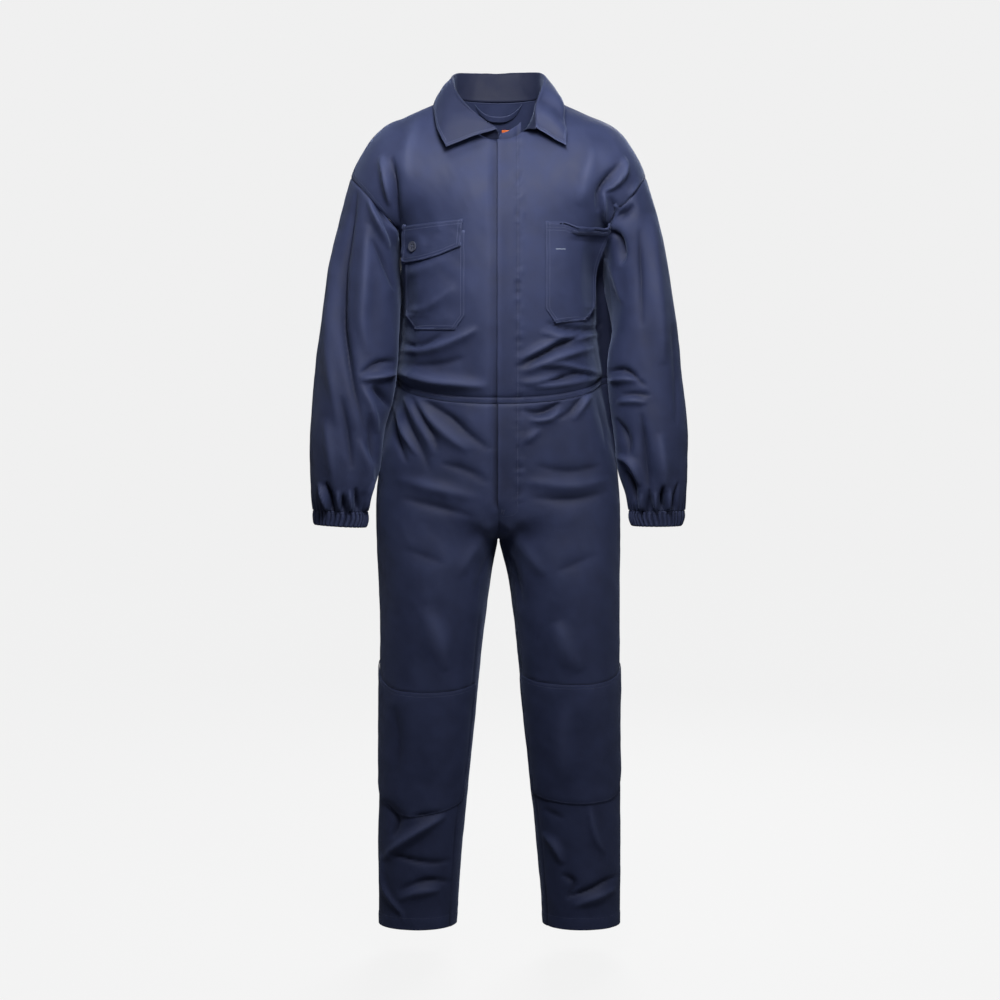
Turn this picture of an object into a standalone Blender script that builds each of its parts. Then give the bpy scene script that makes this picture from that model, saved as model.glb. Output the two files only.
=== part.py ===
"""Boiler suit, worn shape with no wearer. Metres, +Z up, front towards -Y, wearer's left towards +X.

The origin is the middle of the neck opening at the height of the shoulder seams.
Every cloth panel is a thin closed wall over a grid of points that run through measured sections.
"""

import math

import bpy
import numpy as np
from mathutils import Vector
from mathutils.bvhtree import BVHTree

# Driving sizes
clothWall = 0.0015
cuffWall = 0.0026
patchWall = 0.0012
seamGap = 0.0003
armholeGap = 0.0010        # more room where a sleeve turns down beside the body
curvedGap = 0.0006         # at shoulders and inseams, whose straight facets turn fast
squareness = 0.87          # power on sine and cosine: 1 is an ellipse, less is squarer
underarmZ = -0.251
waistSideZ = -0.533
waistFrontDip = 0.0375
waistBackDip = 0.010
splitTopZ = -0.690         # where the lower torso starts to divide into legs
crotchZ = -0.828
neckHalf = 0.088
neckFrontY, neckBackY, neckMidY = -0.086, 0.062, 0.004
neckFrontZ, neckBackZ, neckSideZ = -0.084, -0.002, 0.004
neckShare = 0.36           # share of a panel's top edge that is neckline, the rest is shoulder
flyEndZ = -0.775
flyEdgeX = -0.001          # free edge of the left front
flyStitchX = 0.036
flyUnderX = 0.030          # hidden edge of the right front
flyStep = 0.0036           # how far the right front lies under the left one
facingWall, facingGap = 0.0011, 0.0004

# The side seam swings out behind each sleeve: where that starts, over what height, how far back and out
sideFlare = {"right": (-0.310, 0.070, 0.020, 0.006), "left": (-0.275, 0.065, 0.030, 0.016)}
flareEndZ, flareFade = -0.64, 0.12
legLean = {"right": -0.0010, "left": 0.0035}     # sideways shift of each leg below the crotch
leanHeight = 0.10

# Sections of the torso: half width on the wearer's right and left, depth in front and behind
torsoColumns = ("z", "right", "left", "front", "back")
torsoRows = [
    (-0.251, 0.184, 0.195, 0.128, 0.122),
    (-0.330, 0.183, 0.190, 0.134, 0.118),
    (-0.420, 0.183, 0.189, 0.134, 0.108),
    (-0.500, 0.187, 0.193, 0.128, 0.101),
    (-0.545, 0.1935, 0.1995, 0.122, 0.100),
    (-0.600, 0.2070, 0.2110, 0.123, 0.110),
    (-0.660, 0.2225, 0.2215, 0.122, 0.126),
    (-0.720, 0.2285, 0.2285, 0.119, 0.137),
    (-0.780, 0.2325, 0.2325, 0.116, 0.140),
    (-0.836, 0.2318, 0.2318, 0.112, 0.138),
]

# Sections of a leg: inseam and outseam from the centre plane, depth in front and behind
legColumns = ("z", "inner", "outer", "front", "back")
legRows = [
    (-0.836, 0.0004, 0.2318, 0.112, 0.138),
    (-0.893, 0.0143, 0.2290, 0.112, 0.128),
    (-0.970, 0.0240, 0.2280, 0.108, 0.115),
    (-1.050, 0.0335, 0.2280, 0.103, 0.102),
    (-1.120, 0.0408, 0.2285, 0.098, 0.092),
    (-1.200, 0.0487, 0.2290, 0.090, 0.090),
    (-1.300, 0.0587, 0.2300, 0.080, 0.090),
    (-1.420, 0.0709, 0.2320, 0.073, 0.086),
    (-1.5705, 0.0822, 0.2310, 0.068, 0.080),
]

# Shoulder line from the neck to the top of the armhole
shoulderColumns = ("share", "x", "z")
shoulderRows = [
    (0.00, 0.0880, 0.0040),
    (0.14, 0.1190, -0.0076),
    (0.36, 0.1680, -0.0304),
    (0.58, 0.2157, -0.0532),
    (0.72, 0.2400, -0.0760),
    (0.93, 0.2727, -0.1330),
    (1.00, 0.2780, -0.1480),
]

# Sections of a sleeve: its outer and inner point, middle depth, half depth
sleeveColumns = ("share", "outerX", "outerZ", "innerX", "innerZ", "midY", "deep")
sleeveRows = {
    "right": [
        (0.00, 0.2780, -0.1480, 0.1840, -0.2510, 0.000, 0.079),
        (0.05, 0.2870, -0.1760, 0.1870, -0.2740, 0.000, 0.079),
        (0.11, 0.2975, -0.2150, 0.1885, -0.3080, 0.000, 0.078),
        (0.22, 0.3135, -0.2880, 0.1885, -0.3610, -0.003, 0.075),
        (0.36, 0.3297, -0.3800, 0.1890, -0.4275, -0.008, 0.072),
        (0.50, 0.3430, -0.4750, 0.1915, -0.4980, -0.014, 0.070),
        (0.62, 0.3506, -0.5510, 0.1985, -0.5624, -0.020, 0.069),
        (0.74, 0.3563, -0.6220, 0.2145, -0.6220, -0.025, 0.066),
        (0.86, 0.3563, -0.6970, 0.2250, -0.6970, -0.029, 0.058),
        (0.95, 0.3534, -0.7470, 0.2405, -0.7470, -0.031, 0.047),
        (1.00, 0.3487, -0.7726, 0.2480, -0.7726, -0.032, 0.032),
    ],
    "left": [
        (0.00, 0.2780, -0.1480, 0.1950, -0.2510, 0.000, 0.079),
        (0.05, 0.2870, -0.1760, 0.2000, -0.2740, 0.000, 0.079),
        (0.11, 0.2990, -0.2150, 0.2080, -0.3080, 0.000, 0.078),
        (0.22, 0.3150, -0.2880, 0.2180, -0.3610, -0.003, 0.075),
        (0.36, 0.3297, -0.3800, 0.2170, -0.4275, -0.008, 0.072),
        (0.50, 0.3430, -0.4750, 0.2055, -0.4980, -0.014, 0.070),
        (0.62, 0.3506, -0.5510, 0.2105, -0.5624, -0.020, 0.069),
        (0.74, 0.3563, -0.6220, 0.2200, -0.6220, -0.025, 0.066),
        (0.86, 0.3563, -0.6970, 0.2270, -0.6970, -0.029, 0.058),
        (0.95, 0.3544, -0.7470, 0.2405, -0.7470, -0.031, 0.047),
        (1.00, 0.3505, -0.7726, 0.2480, -0.7726, -0.032, 0.032),
    ],
}
cuffColumns = ("share", "outerX", "outerZ", "innerX", "innerZ", "midY", "deep")
cuffRows = {
    "right": [
        (0.0, 0.3487, -0.7730, 0.2480, -0.7730, -0.032, 0.0320),
        (0.5, 0.3490, -0.7885, 0.2470, -0.7885, -0.032, 0.0300),
        (1.0, 0.3450, -0.8035, 0.2520, -0.8035, -0.032, 0.0285),
    ],
    "left": [
        (0.0, 0.3505, -0.7730, 0.2480, -0.7730, -0.032, 0.0320),
        (0.5, 0.3500, -0.7885, 0.2480, -0.7885, -0.032, 0.0300),
        (1.0, 0.3450, -0.8035, 0.2530, -0.8035, -0.032, 0.0285),
    ],
}

# The collar from the middle of the back to its front end: roll line and outer edge of the fall
collarColumns = ("share", "rollX", "rollY", "rollZ", "edgeX", "edgeY", "edgeZ")
collarRows = [
    (0.00, 0.0000, 0.069, 0.0535, 0.0000, 0.098, -0.0150),
    (0.20, 0.0450, 0.065, 0.0535, 0.0560, 0.092, -0.0140),
    (0.38, 0.0790, 0.038, 0.0500, 0.0990, 0.062, -0.0060),
    (0.50, 0.0860, 0.004, 0.0380, 0.1180, 0.008, -0.0050),
    (0.65, 0.0790, -0.042, 0.0100, 0.1200, -0.049, -0.0340),
    (0.80, 0.0570, -0.076, -0.0220, 0.1110, -0.084, -0.0680),
    (1.00, 0.0120, -0.098, -0.0560, 0.0950, -0.110, -0.0985),
]

# Largest folds of each region, in the X-Z plane seen from the front: ends, half width, height
# A positive height stands out of the cloth and a negative one sinks in.
frontFolds = [
    (-0.226, -0.090, -0.188, -0.215, 0.014, 0.006),
    (0.176, -0.120, 0.205, -0.225, 0.015, 0.007),
    (-0.185, -0.405, -0.030, -0.360, 0.020, 0.004),
    (0.190, -0.470, 0.060, -0.500, 0.018, 0.005),
    (-0.185, -0.520, -0.060, -0.520, 0.016, 0.006),
    (0.190, -0.510, 0.060, -0.545, 0.012, -0.003),
    (-0.165, -0.572, -0.085, -0.700, 0.014, 0.006),
    (0.170, -0.565, 0.070, -0.660, 0.014, 0.004),
    (-0.030, -0.830, -0.110, -0.960, 0.020, 0.004),
    (0.030, -0.830, 0.110, -0.960, 0.020, 0.004),
    (-0.140, -1.375, -0.215, -1.415, 0.016, 0.005),
    (-0.225, -1.440, -0.185, -1.545, 0.016, 0.004),
    (0.085, -1.400, 0.190, -1.450, 0.018, 0.005),
]
sleeveFolds = [
    (-0.300, -0.270, -0.292, -0.720, 0.011, -0.007),
    (-0.262, -0.300, -0.235, -0.500, 0.013, 0.006),
    (-0.250, -0.520, -0.200, -0.535, 0.012, -0.005),
    (0.235, -0.250, 0.250, -0.480, 0.013, 0.006),
    (0.300, -0.540, 0.215, -0.520, 0.012, -0.005),
]

# How the grids are divided
panelShares = (0.12, 0.24, 0.36, 0.50, 0.64, 0.78, 0.90, 1.00)
lowerShares = np.linspace(0, 1, 7)
upperShares = np.linspace(0, 1, 9)
sleeveShares = (0.0, 0.04, 0.09, 0.16, 0.25, 0.34, 0.43, 0.52, 0.61, 0.70, 0.79, 0.87, 0.94, 1.0)
legLevels = (
    -0.533, -0.580, -0.630, -0.680, -0.725, -0.750, -0.775, -0.796, -0.813, -0.828,
    -0.870, -0.930, -1.000, -1.070, -1.140, -1.210, -1.270, -1.332, -1.400, -1.485, -1.5705,
)

# Chest pockets, flap, knees, loop and label
pocketClear, flapClear, flapWall, buttonClear = 0.0024, 0.0046, 0.0018, 0.0072
pocketRight = {"inner": -0.062, "outer": -0.172, "top": -0.252, "bottom": -0.434, "corner": 0.026}
pocketGape = 0.007         # how far the open mouth stands away
pocketLeft = {"inner": 0.090, "outer": 0.184, "top": -0.2377, "bottom": -0.423, "corner": 0.026}
flapOutline = {"inner": -0.0645, "outer": -0.174, "innerTop": -0.234, "outerTop": -0.2475,
               "innerLow": -0.271, "outerLow": -0.302, "point": 0.55}
buttonPlace, buttonRadius, buttonThick = (-0.157, -0.280), 0.0075, 0.0030
kneePatch = {"inset": 0.15, "clear": 0.0010, "bottom": -1.332}
kneeTops = {"right": (-1.117, -1.121, -1.090), "left": (-1.107, -1.112, -1.082)}
loop = {"half": 0.045, "drop": 0.022, "wide": 0.010, "thick": 0.0016, "stand": 0.006}
label = {"half": 0.020, "x": 0.006, "top": -0.046, "bottom": -0.072, "thick": 0.0010, "stand": 0.0028}

navy = (0.030, 0.040, 0.095, 1.0)
orange = (0.75, 0.16, 0.03, 1.0)
darkPlastic = (0.020, 0.022, 0.035, 1.0)


def lookUp(columns, rows, name, at):
    """Value of one column at a station, on a smooth curve through every row."""
    ordered = sorted(rows)
    stations = np.array([row[0] for row in ordered])
    values = np.array([row[columns.index(name)] for row in ordered])
    slopes = np.gradient(values, stations)
    at = np.clip(np.asarray(at, float), stations[0], stations[-1])
    low = np.clip(np.searchsorted(stations, at, side="right") - 1, 0, len(stations) - 2)
    span = stations[low + 1] - stations[low]
    t = (at - stations[low]) / span
    rise = values[low] * (1 + 2 * t) * (1 - t) ** 2 + values[low + 1] * t * t * (3 - 2 * t)
    return rise + span * (slopes[low] * t * (1 - t) ** 2 + slopes[low + 1] * t * t * (t - 1))


def ease(t):
    t = np.clip(t, 0.0, 1.0)
    return t * t * (3 - 2 * t)


def curved(value, power=squareness):
    return np.sign(value) * np.abs(value) ** power


def point(x, y, z):
    return np.stack(np.broadcast_arrays(x, y, z), axis=-1)


def foldHeight(folds, x, z):
    """Summed height of the folds over a place in the X-Z plane, dying away at their ends."""
    total = np.zeros(np.broadcast(x, z).shape)
    for x0, z0, x1, z1, wide, high in folds:
        length = math.hypot(x1 - x0, z1 - z0)
        alongX, alongZ = (x1 - x0) / length, (z1 - z0) / length
        along = (x - x0) * alongX + (z - z0) * alongZ
        across = (x - x0) * alongZ - (z - z0) * alongX
        fade = ease(along / length * 3 + 0.5) * ease((1 - along / length) * 3 + 0.5)
        total += high * fade * np.exp(-((across / wide) ** 2))
    return total


def flared(share, z, side):
    """How far a side seam stands out and back behind the sleeve."""
    start, span, back, out = sideFlare[side]
    reach = ease((start - z) / span) * ease((z - flareEndZ) / flareFade)
    return out * reach * ease((share - 0.50) / 0.50), back * reach * ease((share - 0.40) / 0.60)


def ringPoint(z, share, side, back):
    """Torso section at a height: share 0 is the centre line and 1 is the side seam."""
    half = lookUp(torsoColumns, torsoRows, side, z)
    deep = lookUp(torsoColumns, torsoRows, "back" if back else "front", z)
    share = np.asarray(share, float)
    turn = share * math.pi / 2
    sign = 1 if side == "left" else -1
    wider, behind = flared(share, z, side)
    y = deep * curved(np.cos(turn)) * (1 if back else -1) + behind
    return point(sign * (half * curved(np.sin(turn)) + wider), y, z)


def topPoint(share, side, back):
    """Upper edge of a torso panel: neckline up to neckShare, then the shoulder line."""
    sign = 1 if side == "left" else -1
    turn = np.clip(share / neckShare, 0, 1) * math.pi / 2
    endY, endZ = (neckBackY, neckBackZ) if back else (neckFrontY, neckFrontZ)
    neckY = neckMidY + (endY - neckMidY) * np.cos(turn)
    neckZ = neckSideZ + (endZ - neckSideZ) * np.cos(turn) ** 1.3
    neck = point(neckHalf * np.sin(turn), neckY, neckZ)
    out = np.clip((share - neckShare) / (1 - neckShare), 0, 1)
    shoulder = point(
        lookUp(shoulderColumns, shoulderRows, "x", out),
        neckMidY * (1 - out),
        lookUp(shoulderColumns, shoulderRows, "z", out),
    )
    found = np.where(np.expand_dims(share < neckShare, -1), neck, shoulder)
    return found * (sign, 1, 1)


def armholePoint(share, side, back):
    """Armhole from the underarm (0) to the shoulder (1), half of a tilted ellipse."""
    turn = (np.asarray(share) - 0.5) * math.pi
    first = dict(zip(sleeveColumns, sleeveRows[side][0]))
    midX, midZ = (first["outerX"] + first["innerX"]) / 2, (first["outerZ"] + first["innerZ"]) / 2
    halfX, halfZ = (first["outerX"] - first["innerX"]) / 2, (first["outerZ"] - first["innerZ"]) / 2
    sign = 1 if side == "left" else -1
    y = first["deep"] * np.cos(turn) * (1 if back else -1)
    return point(sign * (midX + halfX * np.sin(turn)), y, midZ + halfZ * np.sin(turn))


def upperPoint(share, rise, side, back):
    """Torso above the underarm, blended between its four edges and rounded over the shoulder."""
    share, rise = np.broadcast_arrays(np.asarray(share, float), np.asarray(rise, float))
    low = ringPoint(underarmZ, share, side, back)
    top = topPoint(share, side, back)
    centreLow = ringPoint(underarmZ, 0.0, side, back)
    centreTop = topPoint(np.array(0.0), side, back)
    bow = 0.010 * np.sin(math.pi * rise) if back else -0.004 * np.sin(math.pi * rise)
    steep = np.expand_dims(rise ** (1.6 if back else 1.2), -1)
    straight = np.expand_dims(rise, -1)
    centre = centreLow + (centreTop - centreLow) * np.concatenate([straight, steep, straight], -1)
    centre = centre + point(0 * bow, bow, 0 * bow)
    arm = armholePoint(rise, side, back)
    round_ = ease(share / 0.75)
    quarter = rise * math.pi / 2
    blend = point(
        rise,
        rise + (1 - np.cos(quarter) - rise) * round_,
        rise + (np.sin(quarter) - rise) * round_,
    )
    out = np.expand_dims(share, -1)
    armLow, armTop = armholePoint(0.0, side, back), armholePoint(1.0, side, back)
    surface = (1 - blend) * low + blend * top
    surface = surface + (1 - out) * (centre - ((1 - blend) * centreLow + blend * centreTop))
    return surface + out * (arm - ((1 - blend) * armLow + blend * armTop))


def waistZ(share, back):
    turn = np.asarray(share) * math.pi / 2
    dip = waistBackDip if back else waistFrontDip
    return waistSideZ - dip * np.cos(turn) ** 1.2


def torsoPoint(share, rise, side, back):
    """Torso panel: rise 0 to 1 is waist to underarm, 1 to 2 is underarm to the top edge."""
    share, rise = np.broadcast_arrays(np.asarray(share, float), np.asarray(rise, float))
    seam = waistZ(share, back)
    z = seam + (underarmZ - seam) * np.clip(rise, 0, 1)
    lower = ringPoint(z, share, side, back)
    upper = upperPoint(share, np.clip(rise - 1, 0, 1), side, back)
    return np.where(np.expand_dims(rise <= 1, -1), lower, upper)


def legPoint(share, level, side, back):
    """Leg panel at a height: share 0 is the centre seam or the inseam and 1 is the side seam."""
    share, level = np.broadcast_arrays(np.asarray(share, float), np.asarray(level, float))
    fade = ease((level - splitTopZ) / (waistSideZ - splitTopZ))
    z = level + (waistZ(share, back) - waistSideZ) * fade
    name = "back" if back else "front"
    deep = np.where(z > crotchZ, lookUp(torsoColumns, torsoRows, name, z),
                    lookUp(legColumns, legRows, name, z))
    outer = np.where(z > crotchZ, lookUp(torsoColumns, torsoRows, side, z),
                     lookUp(legColumns, legRows, "outer", z))
    inner = lookUp(legColumns, legRows, "inner", z)
    split = np.clip((splitTopZ - z) / (splitTopZ - crotchZ), 0, 1) ** 2.0
    radius = np.where(z > crotchZ, outer / (1 + split), (outer - inner) / 2)
    middle = np.where(z > crotchZ, split * radius, (outer + inner) / 2)
    power = squareness + 0.08 * ease((splitTopZ - z) / 0.25)
    start = -np.arcsin(np.clip(split ** (1 / power), 0, 1))
    turn = start + (math.pi / 2 - start) * share
    sign = 1 if side == "left" else -1
    wider, behind = flared(share, z, side)
    middle = middle + legLean[side] * ease((crotchZ - z) / leanHeight)
    x = middle + radius * np.sign(np.sin(turn)) * np.abs(np.sin(turn)) ** power + wider
    y = deep * np.abs(np.cos(turn)) ** power * (1 if back else -1) + behind
    return point(sign * x, y, z)


def shareAtX(surface, x):
    """Share at which a row of a panel reaches a distance from the centre plane."""
    low, high = 0.0, 0.6
    for _ in range(40):
        middle = (low + high) / 2
        if abs(surface(middle)[0]) < x:
            low = middle
        else:
            high = middle
    return (low + high) / 2


def mirroredAtX(surface, x, sign):
    """A row's point at signed distance x from the centre plane. Past it, the row is mirrored."""
    found = np.array(surface(shareAtX(surface, abs(x))))
    return found * (1 if x * sign >= 0 else -1, 1, 1)


def tubePoint(columns, rows, share, turn, sign):
    """Sleeve section: turn -90 is its inner side, 90 its outer side, 0 front and 180 back."""
    share, turn = np.broadcast_arrays(np.asarray(share, float), np.asarray(turn, float))
    value = {name: lookUp(columns, rows, name, share) for name in columns[1:]}
    midX, midZ = (value["outerX"] + value["innerX"]) / 2, (value["outerZ"] + value["innerZ"]) / 2
    halfX, halfZ = (value["outerX"] - value["innerX"]) / 2, (value["outerZ"] - value["innerZ"]) / 2
    x = midX + halfX * np.sin(turn)
    y = value["midY"] - value["deep"] * np.cos(turn)
    return point(sign * x, y, midZ + halfZ * np.sin(turn))


def gridNormals(grid, closed):
    """Unit normals of a grid of points, as [row, column]."""
    if closed:
        across = np.roll(grid, -1, axis=1) - np.roll(grid, 1, axis=1)
    else:
        across = np.gradient(grid, axis=1)
    along = np.gradient(grid, axis=0)
    normal = np.cross(across, along)
    return normal / np.maximum(np.linalg.norm(normal, axis=-1, keepdims=True), 1e-12)


def facedOut(grid, normals, middle):
    """Turns the normals away from the middle line of the shape they wrap."""
    outward = np.sum((grid - middle) * normals, axis=-1)
    return normals if np.median(outward) > 0 else -normals


def shareSeamNormals(panels):
    """Where panels meet at a seam they take one wall direction, so that their walls don't cross."""
    meeting = {}
    for name, panel in panels.items():
        rows, columns = panel["grid"].shape[:2]
        for r in range(rows):
            for c in range(columns):
                if r in (0, rows - 1) or c in (0, columns - 1):
                    key = tuple(np.round(panel["grid"][r, c] * 1e5).astype(int))
                    meeting.setdefault(key, []).append((name, r, c))
    for users in meeting.values():
        normals = [panels[n]["normals"][r, c].copy() for n, r, c in users]
        for (n, r, c), own in zip(users, normals):
            near = [other for other in normals if np.dot(other, own) > 0.2]
            total = np.sum(near, axis=0)
            panels[n]["normals"][r, c] = total / np.linalg.norm(total)


def openSeams(grid, edges, gap):
    """Pulls the named edges of a grid back from their seams by half a gap."""
    moved = grid.copy()
    pulls = {"start": (np.s_[0, :], np.s_[1, :]), "end": (np.s_[-1, :], np.s_[-2, :]),
             "first": (np.s_[:, 0], np.s_[:, 1]), "last": (np.s_[:, -1], np.s_[:, -2])}
    for edge in edges:
        border, inside = pulls[edge]
        way = grid[inside] - grid[border]
        moved[border] += way / np.linalg.norm(way, axis=-1, keepdims=True) * gap / 2
    return moved


def material(name, colour, roughness):
    made = bpy.data.materials.new(name)
    made.use_nodes = True
    shader = made.node_tree.nodes["Principled BSDF"]
    shader.inputs["Base Color"].default_value = colour
    shader.inputs["Roughness"].default_value = roughness
    shader.inputs["Metallic"].default_value = 0.0
    return made


def addObject(name, points, faces, slot):
    """A named object from points and faces, turned to face outwards."""
    points = np.asarray(points, float)
    volume = 0.0
    for face in faces:
        for second, third in zip(face[1:-1], face[2:]):
            volume += np.dot(points[face[0]], np.cross(points[second], points[third]))
    if volume < 0:
        faces = [face[::-1] for face in faces]
    mesh = bpy.data.meshes.new(name)
    mesh.from_pydata([tuple(p) for p in points], [], faces)
    mesh.materials.append(slot)
    mesh.shade_smooth()
    mesh.set_sharp_from_angle(angle=math.radians(40))
    made = bpy.data.objects.new(name, mesh)
    bpy.context.collection.objects.link(made)
    return made


def wallFaces(points, rows, columns, closed):
    """Triangles of a wall whose outer grid comes first and whose inner grid follows it."""
    inner = rows * columns
    faces = []

    def addFour(a, b, d, e):
        for side in (0, inner):
            if np.linalg.norm(points[a] - points[d]) <= np.linalg.norm(points[b] - points[e]):
                made = [(a, b, d), (a, d, e)]
            else:
                made = [(a, b, e), (b, d, e)]
            made = [tuple(k + side for k in face) for face in made]
            faces.extend([face[::-1] for face in made] if side else made)

    lastColumn = columns if closed else columns - 1
    for r in range(rows - 1):
        for c in range(lastColumn):
            n = (c + 1) % columns
            addFour(r * columns + c, r * columns + n, (r + 1) * columns + n, (r + 1) * columns + c)
    for c in range(lastColumn):
        n = (c + 1) % columns
        end = (rows - 1) * columns
        faces.append((n, c, inner + c, inner + n))
        faces.append((end + c, end + n, inner + end + n, inner + end + c))
    if not closed:
        for r in range(rows - 1):
            a, b = r * columns, (r + 1) * columns
            faces.append((a, b, inner + b, inner + a))
            a, b = a + columns - 1, b + columns - 1
            faces.append((b, a, inner + a, inner + b))
    return faces


def addWall(name, outer, normals, thick, slot, closed=False):
    rows, columns = outer.shape[:2]
    inner = outer - normals * thick
    points = np.concatenate([outer.reshape(-1, 3), inner.reshape(-1, 3)])
    return addObject(name, points, wallFaces(points, rows, columns, closed), slot)


def torsoGrid(side, back):
    """Front grids start at the fly, back grids at the centre line."""
    rises = np.concatenate([lowerShares, 1 + upperShares[1:]])
    sign = 1 if side == "left" else -1
    if back:
        shares = np.concatenate([[0.0], panelShares])
        return torsoPoint(shares[None, :], rises[:, None], side, back)
    lines = (flyEdgeX, 0.017, flyStitchX) if side == "left" else (flyUnderX, 0.015, 0.0, -0.018)
    shares = [share for share in panelShares if share > 0.2]
    rows = []
    for rise in rises:
        surface = lambda share, rise=rise: torsoPoint(share, rise, side, back)
        row = [mirroredAtX(surface, x, sign) for x in lines]
        row += [torsoPoint(share, rise, side, back) for share in shares]
        rows.append(row)
    return np.array(rows)


def legGrid(side, back):
    sign = 1 if side == "left" else -1
    if back:
        shares = np.concatenate([[0.0], panelShares])
        return legPoint(shares[None, :], np.array(legLevels)[:, None], side, back)
    lines = (flyEdgeX, 0.017, flyStitchX) if side == "left" else (flyUnderX, 0.015, 0.0, -0.018)
    plain = (0.0, 0.08, 0.16) if side == "left" else (0.0, 0.012, 0.024, 0.10)
    shares = [share for share in panelShares if share > 0.2]
    rows = []
    for level in legLevels:
        surface = lambda share, level=level: legPoint(share, level, side, back)
        lapped = np.array([mirroredAtX(surface, x, sign) for x in lines])
        seamed = legPoint(np.array(plain), level, side, back)
        open_ = ease((level - flyEndZ) / 0.025)
        row = list(seamed + (lapped - seamed) * open_)
        row += [legPoint(share, level, side, back) for share in shares]
        rows.append(row)
    return np.array(rows)


def underLap(grid):
    """The right front sinks under the left one towards its hidden edge."""
    x, z = grid[..., 0], grid[..., 2]
    across = ease((x + 0.022) / 0.018)
    ends = ease((z - (flyEndZ - 0.025)) / 0.025)
    return flyStep * across * ends


def buildPanels():
    """Grids, normals and folds of every main panel."""
    panels = {}
    for side in ("right", "left"):
        panels["front_" + side] = {"grid": torsoGrid(side, False), "edges": ("start", "end", "last")}
        panels["leg_front_" + side] = {"grid": legGrid(side, False), "edges": ("start", "last")}
        panels["leg_back_" + side] = {"grid": legGrid(side, True), "edges": ("start", "first", "last")}
    halves = [torsoGrid("right", True)[:, ::-1], torsoGrid("left", True)[:, 1:]]
    backEdges = ("start", "end", "first", "last")
    panels["back"] = {"grid": np.concatenate(halves, axis=1), "edges": backEdges}
    for name, panel in panels.items():
        grid = panel["grid"]
        middle = grid.mean(axis=1, keepdims=True) * (1, 0, 1)
        normals = facedOut(grid, gridNormals(grid, False), middle)
        if "back" not in name:
            high = foldHeight(frontFolds, grid[..., 0], grid[..., 2])
            inside = np.zeros(high.shape)
            inside[1:-1, :-1] = 1.0
            grid = grid + normals * (high * inside)[..., None]
        panel["grid"], panel["normals"] = grid, normals
    for side, sign in (("right", -1), ("left", 1)):
        front = (upperShares - 0.5) * math.pi
        turns = np.concatenate([front, (math.pi - front[1:-1])[::-1]])
        shares = np.array(sleeveShares)
        grid = tubePoint(sleeveColumns, sleeveRows[side], shares[:, None], turns[None, :], sign)
        normals = facedOut(grid, gridNormals(grid, True), grid.mean(axis=1, keepdims=True))
        high = foldHeight(sleeveFolds, grid[..., 0], grid[..., 2])
        inside = np.zeros(high.shape)
        inside[1:-1] = 1.0
        seen = np.clip(np.cos(turns), 0, 1) ** 0.5
        grid = grid + normals * (high * inside * seen)[..., None]
        panels["sleeve_" + side] = {"grid": grid, "normals": normals, "edges": ("start", "end")}
    return panels


def addPanels(cloth):
    panels = buildPanels()
    shareSeamNormals(panels)
    for name, panel in panels.items():
        if name.startswith(("front", "back")):
            ridge = np.abs(panel["grid"][-1, :, 0]) > neckHalf - 1e-6
            panel["normals"][-1, ridge, 1] = 0.0
            panel["normals"][-1] /= np.linalg.norm(panel["normals"][-1], axis=-1, keepdims=True)
        outer = openSeams(panel["grid"], panel["edges"], seamGap)
        if name.startswith("sleeve"):
            outer = openSeams(outer, ("start",), armholeGap)
        if name.startswith(("front", "back")):
            outer = openSeams(outer, ("end",), curvedGap)
        if name in ("front_right", "leg_front_right"):
            outer = outer - panel["normals"] * underLap(panel["grid"])[..., None]
        if name.startswith("leg_front"):
            seamed = panel["grid"][:, 0, 2] <= flyEndZ + 1e-6
            outer[seamed, 0, 0] += (1 if name.endswith("left") else -1) * seamGap / 2
            inseam = panel["grid"][:, 0, 2] <= crotchZ + 1e-6
            outer[inseam] = openSeams(outer[inseam], ("first",), curvedGap)
        addWall(name, outer, panel["normals"], clothWall, cloth, name.startswith("sleeve"))
    return panels


def addFlyFacing(panels, cloth):
    """Strip behind the left fly edge, from the neck to just above the fly's lower end."""
    rows = []
    for panel in ("leg_front_left", "front_left"):
        grid, normals = panels[panel]["grid"], panels[panel]["normals"]
        kept = [r for r in range(len(grid)) if grid[r, 0, 2] > flyEndZ + 0.02]
        if panel == "leg_front_left":
            kept = kept[::-1][:-1]
        for r in kept:
            start, middle, stitch = grid[r, :3] - normals[r, :3] * (clothWall + facingGap)
            edge = start + (middle - start) * 0.08
            rows.append([edge, middle, middle + (stitch - middle) * 0.97])
    grid = np.array(rows)
    normals = facedOut(grid, gridNormals(grid, False), grid * (1, 0, 1))
    addWall("fly_facing", grid, normals, facingWall, cloth)


def surfaceBelow(panels, names):
    """Search tree over the outer faces of the named panels."""
    points, faces = [], []
    for name in names:
        grid = panels[name]["grid"]
        rows, columns = grid.shape[:2]
        base = len(points)
        points += [Vector(p) for p in grid.reshape(-1, 3)]
        for r in range(rows - 1):
            for c in range(columns - 1):
                a = base + r * columns + c
                faces.append((a, a + 1, a + columns + 1, a + columns))
    return BVHTree.FromPolygons(points, faces)


def onFront(tree, x, z, out):
    """Point over the front cloth at (x, z), moved out by a distance along its normal."""
    hit, normal, _, _ = tree.ray_cast(Vector((x, -1.0, z)), Vector((0.0, 1.0, 0.0)))
    if normal.y > 0:
        normal = -normal
    return np.array(hit + normal * out)


def addPatch(name, places, tree, out, thick, slot, lift=None):
    """Wall laid over the front cloth through a grid of (x, z) places."""
    grid = np.array([[onFront(tree, x, z, out) for x, z in row] for row in places])
    normals = facedOut(grid, gridNormals(grid, False), grid + (0, 0.2, 0))
    if lift is not None:
        grid = grid + normals * lift[..., None]
    return addWall(name, grid + normals * thick, normals, thick, slot)


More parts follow.
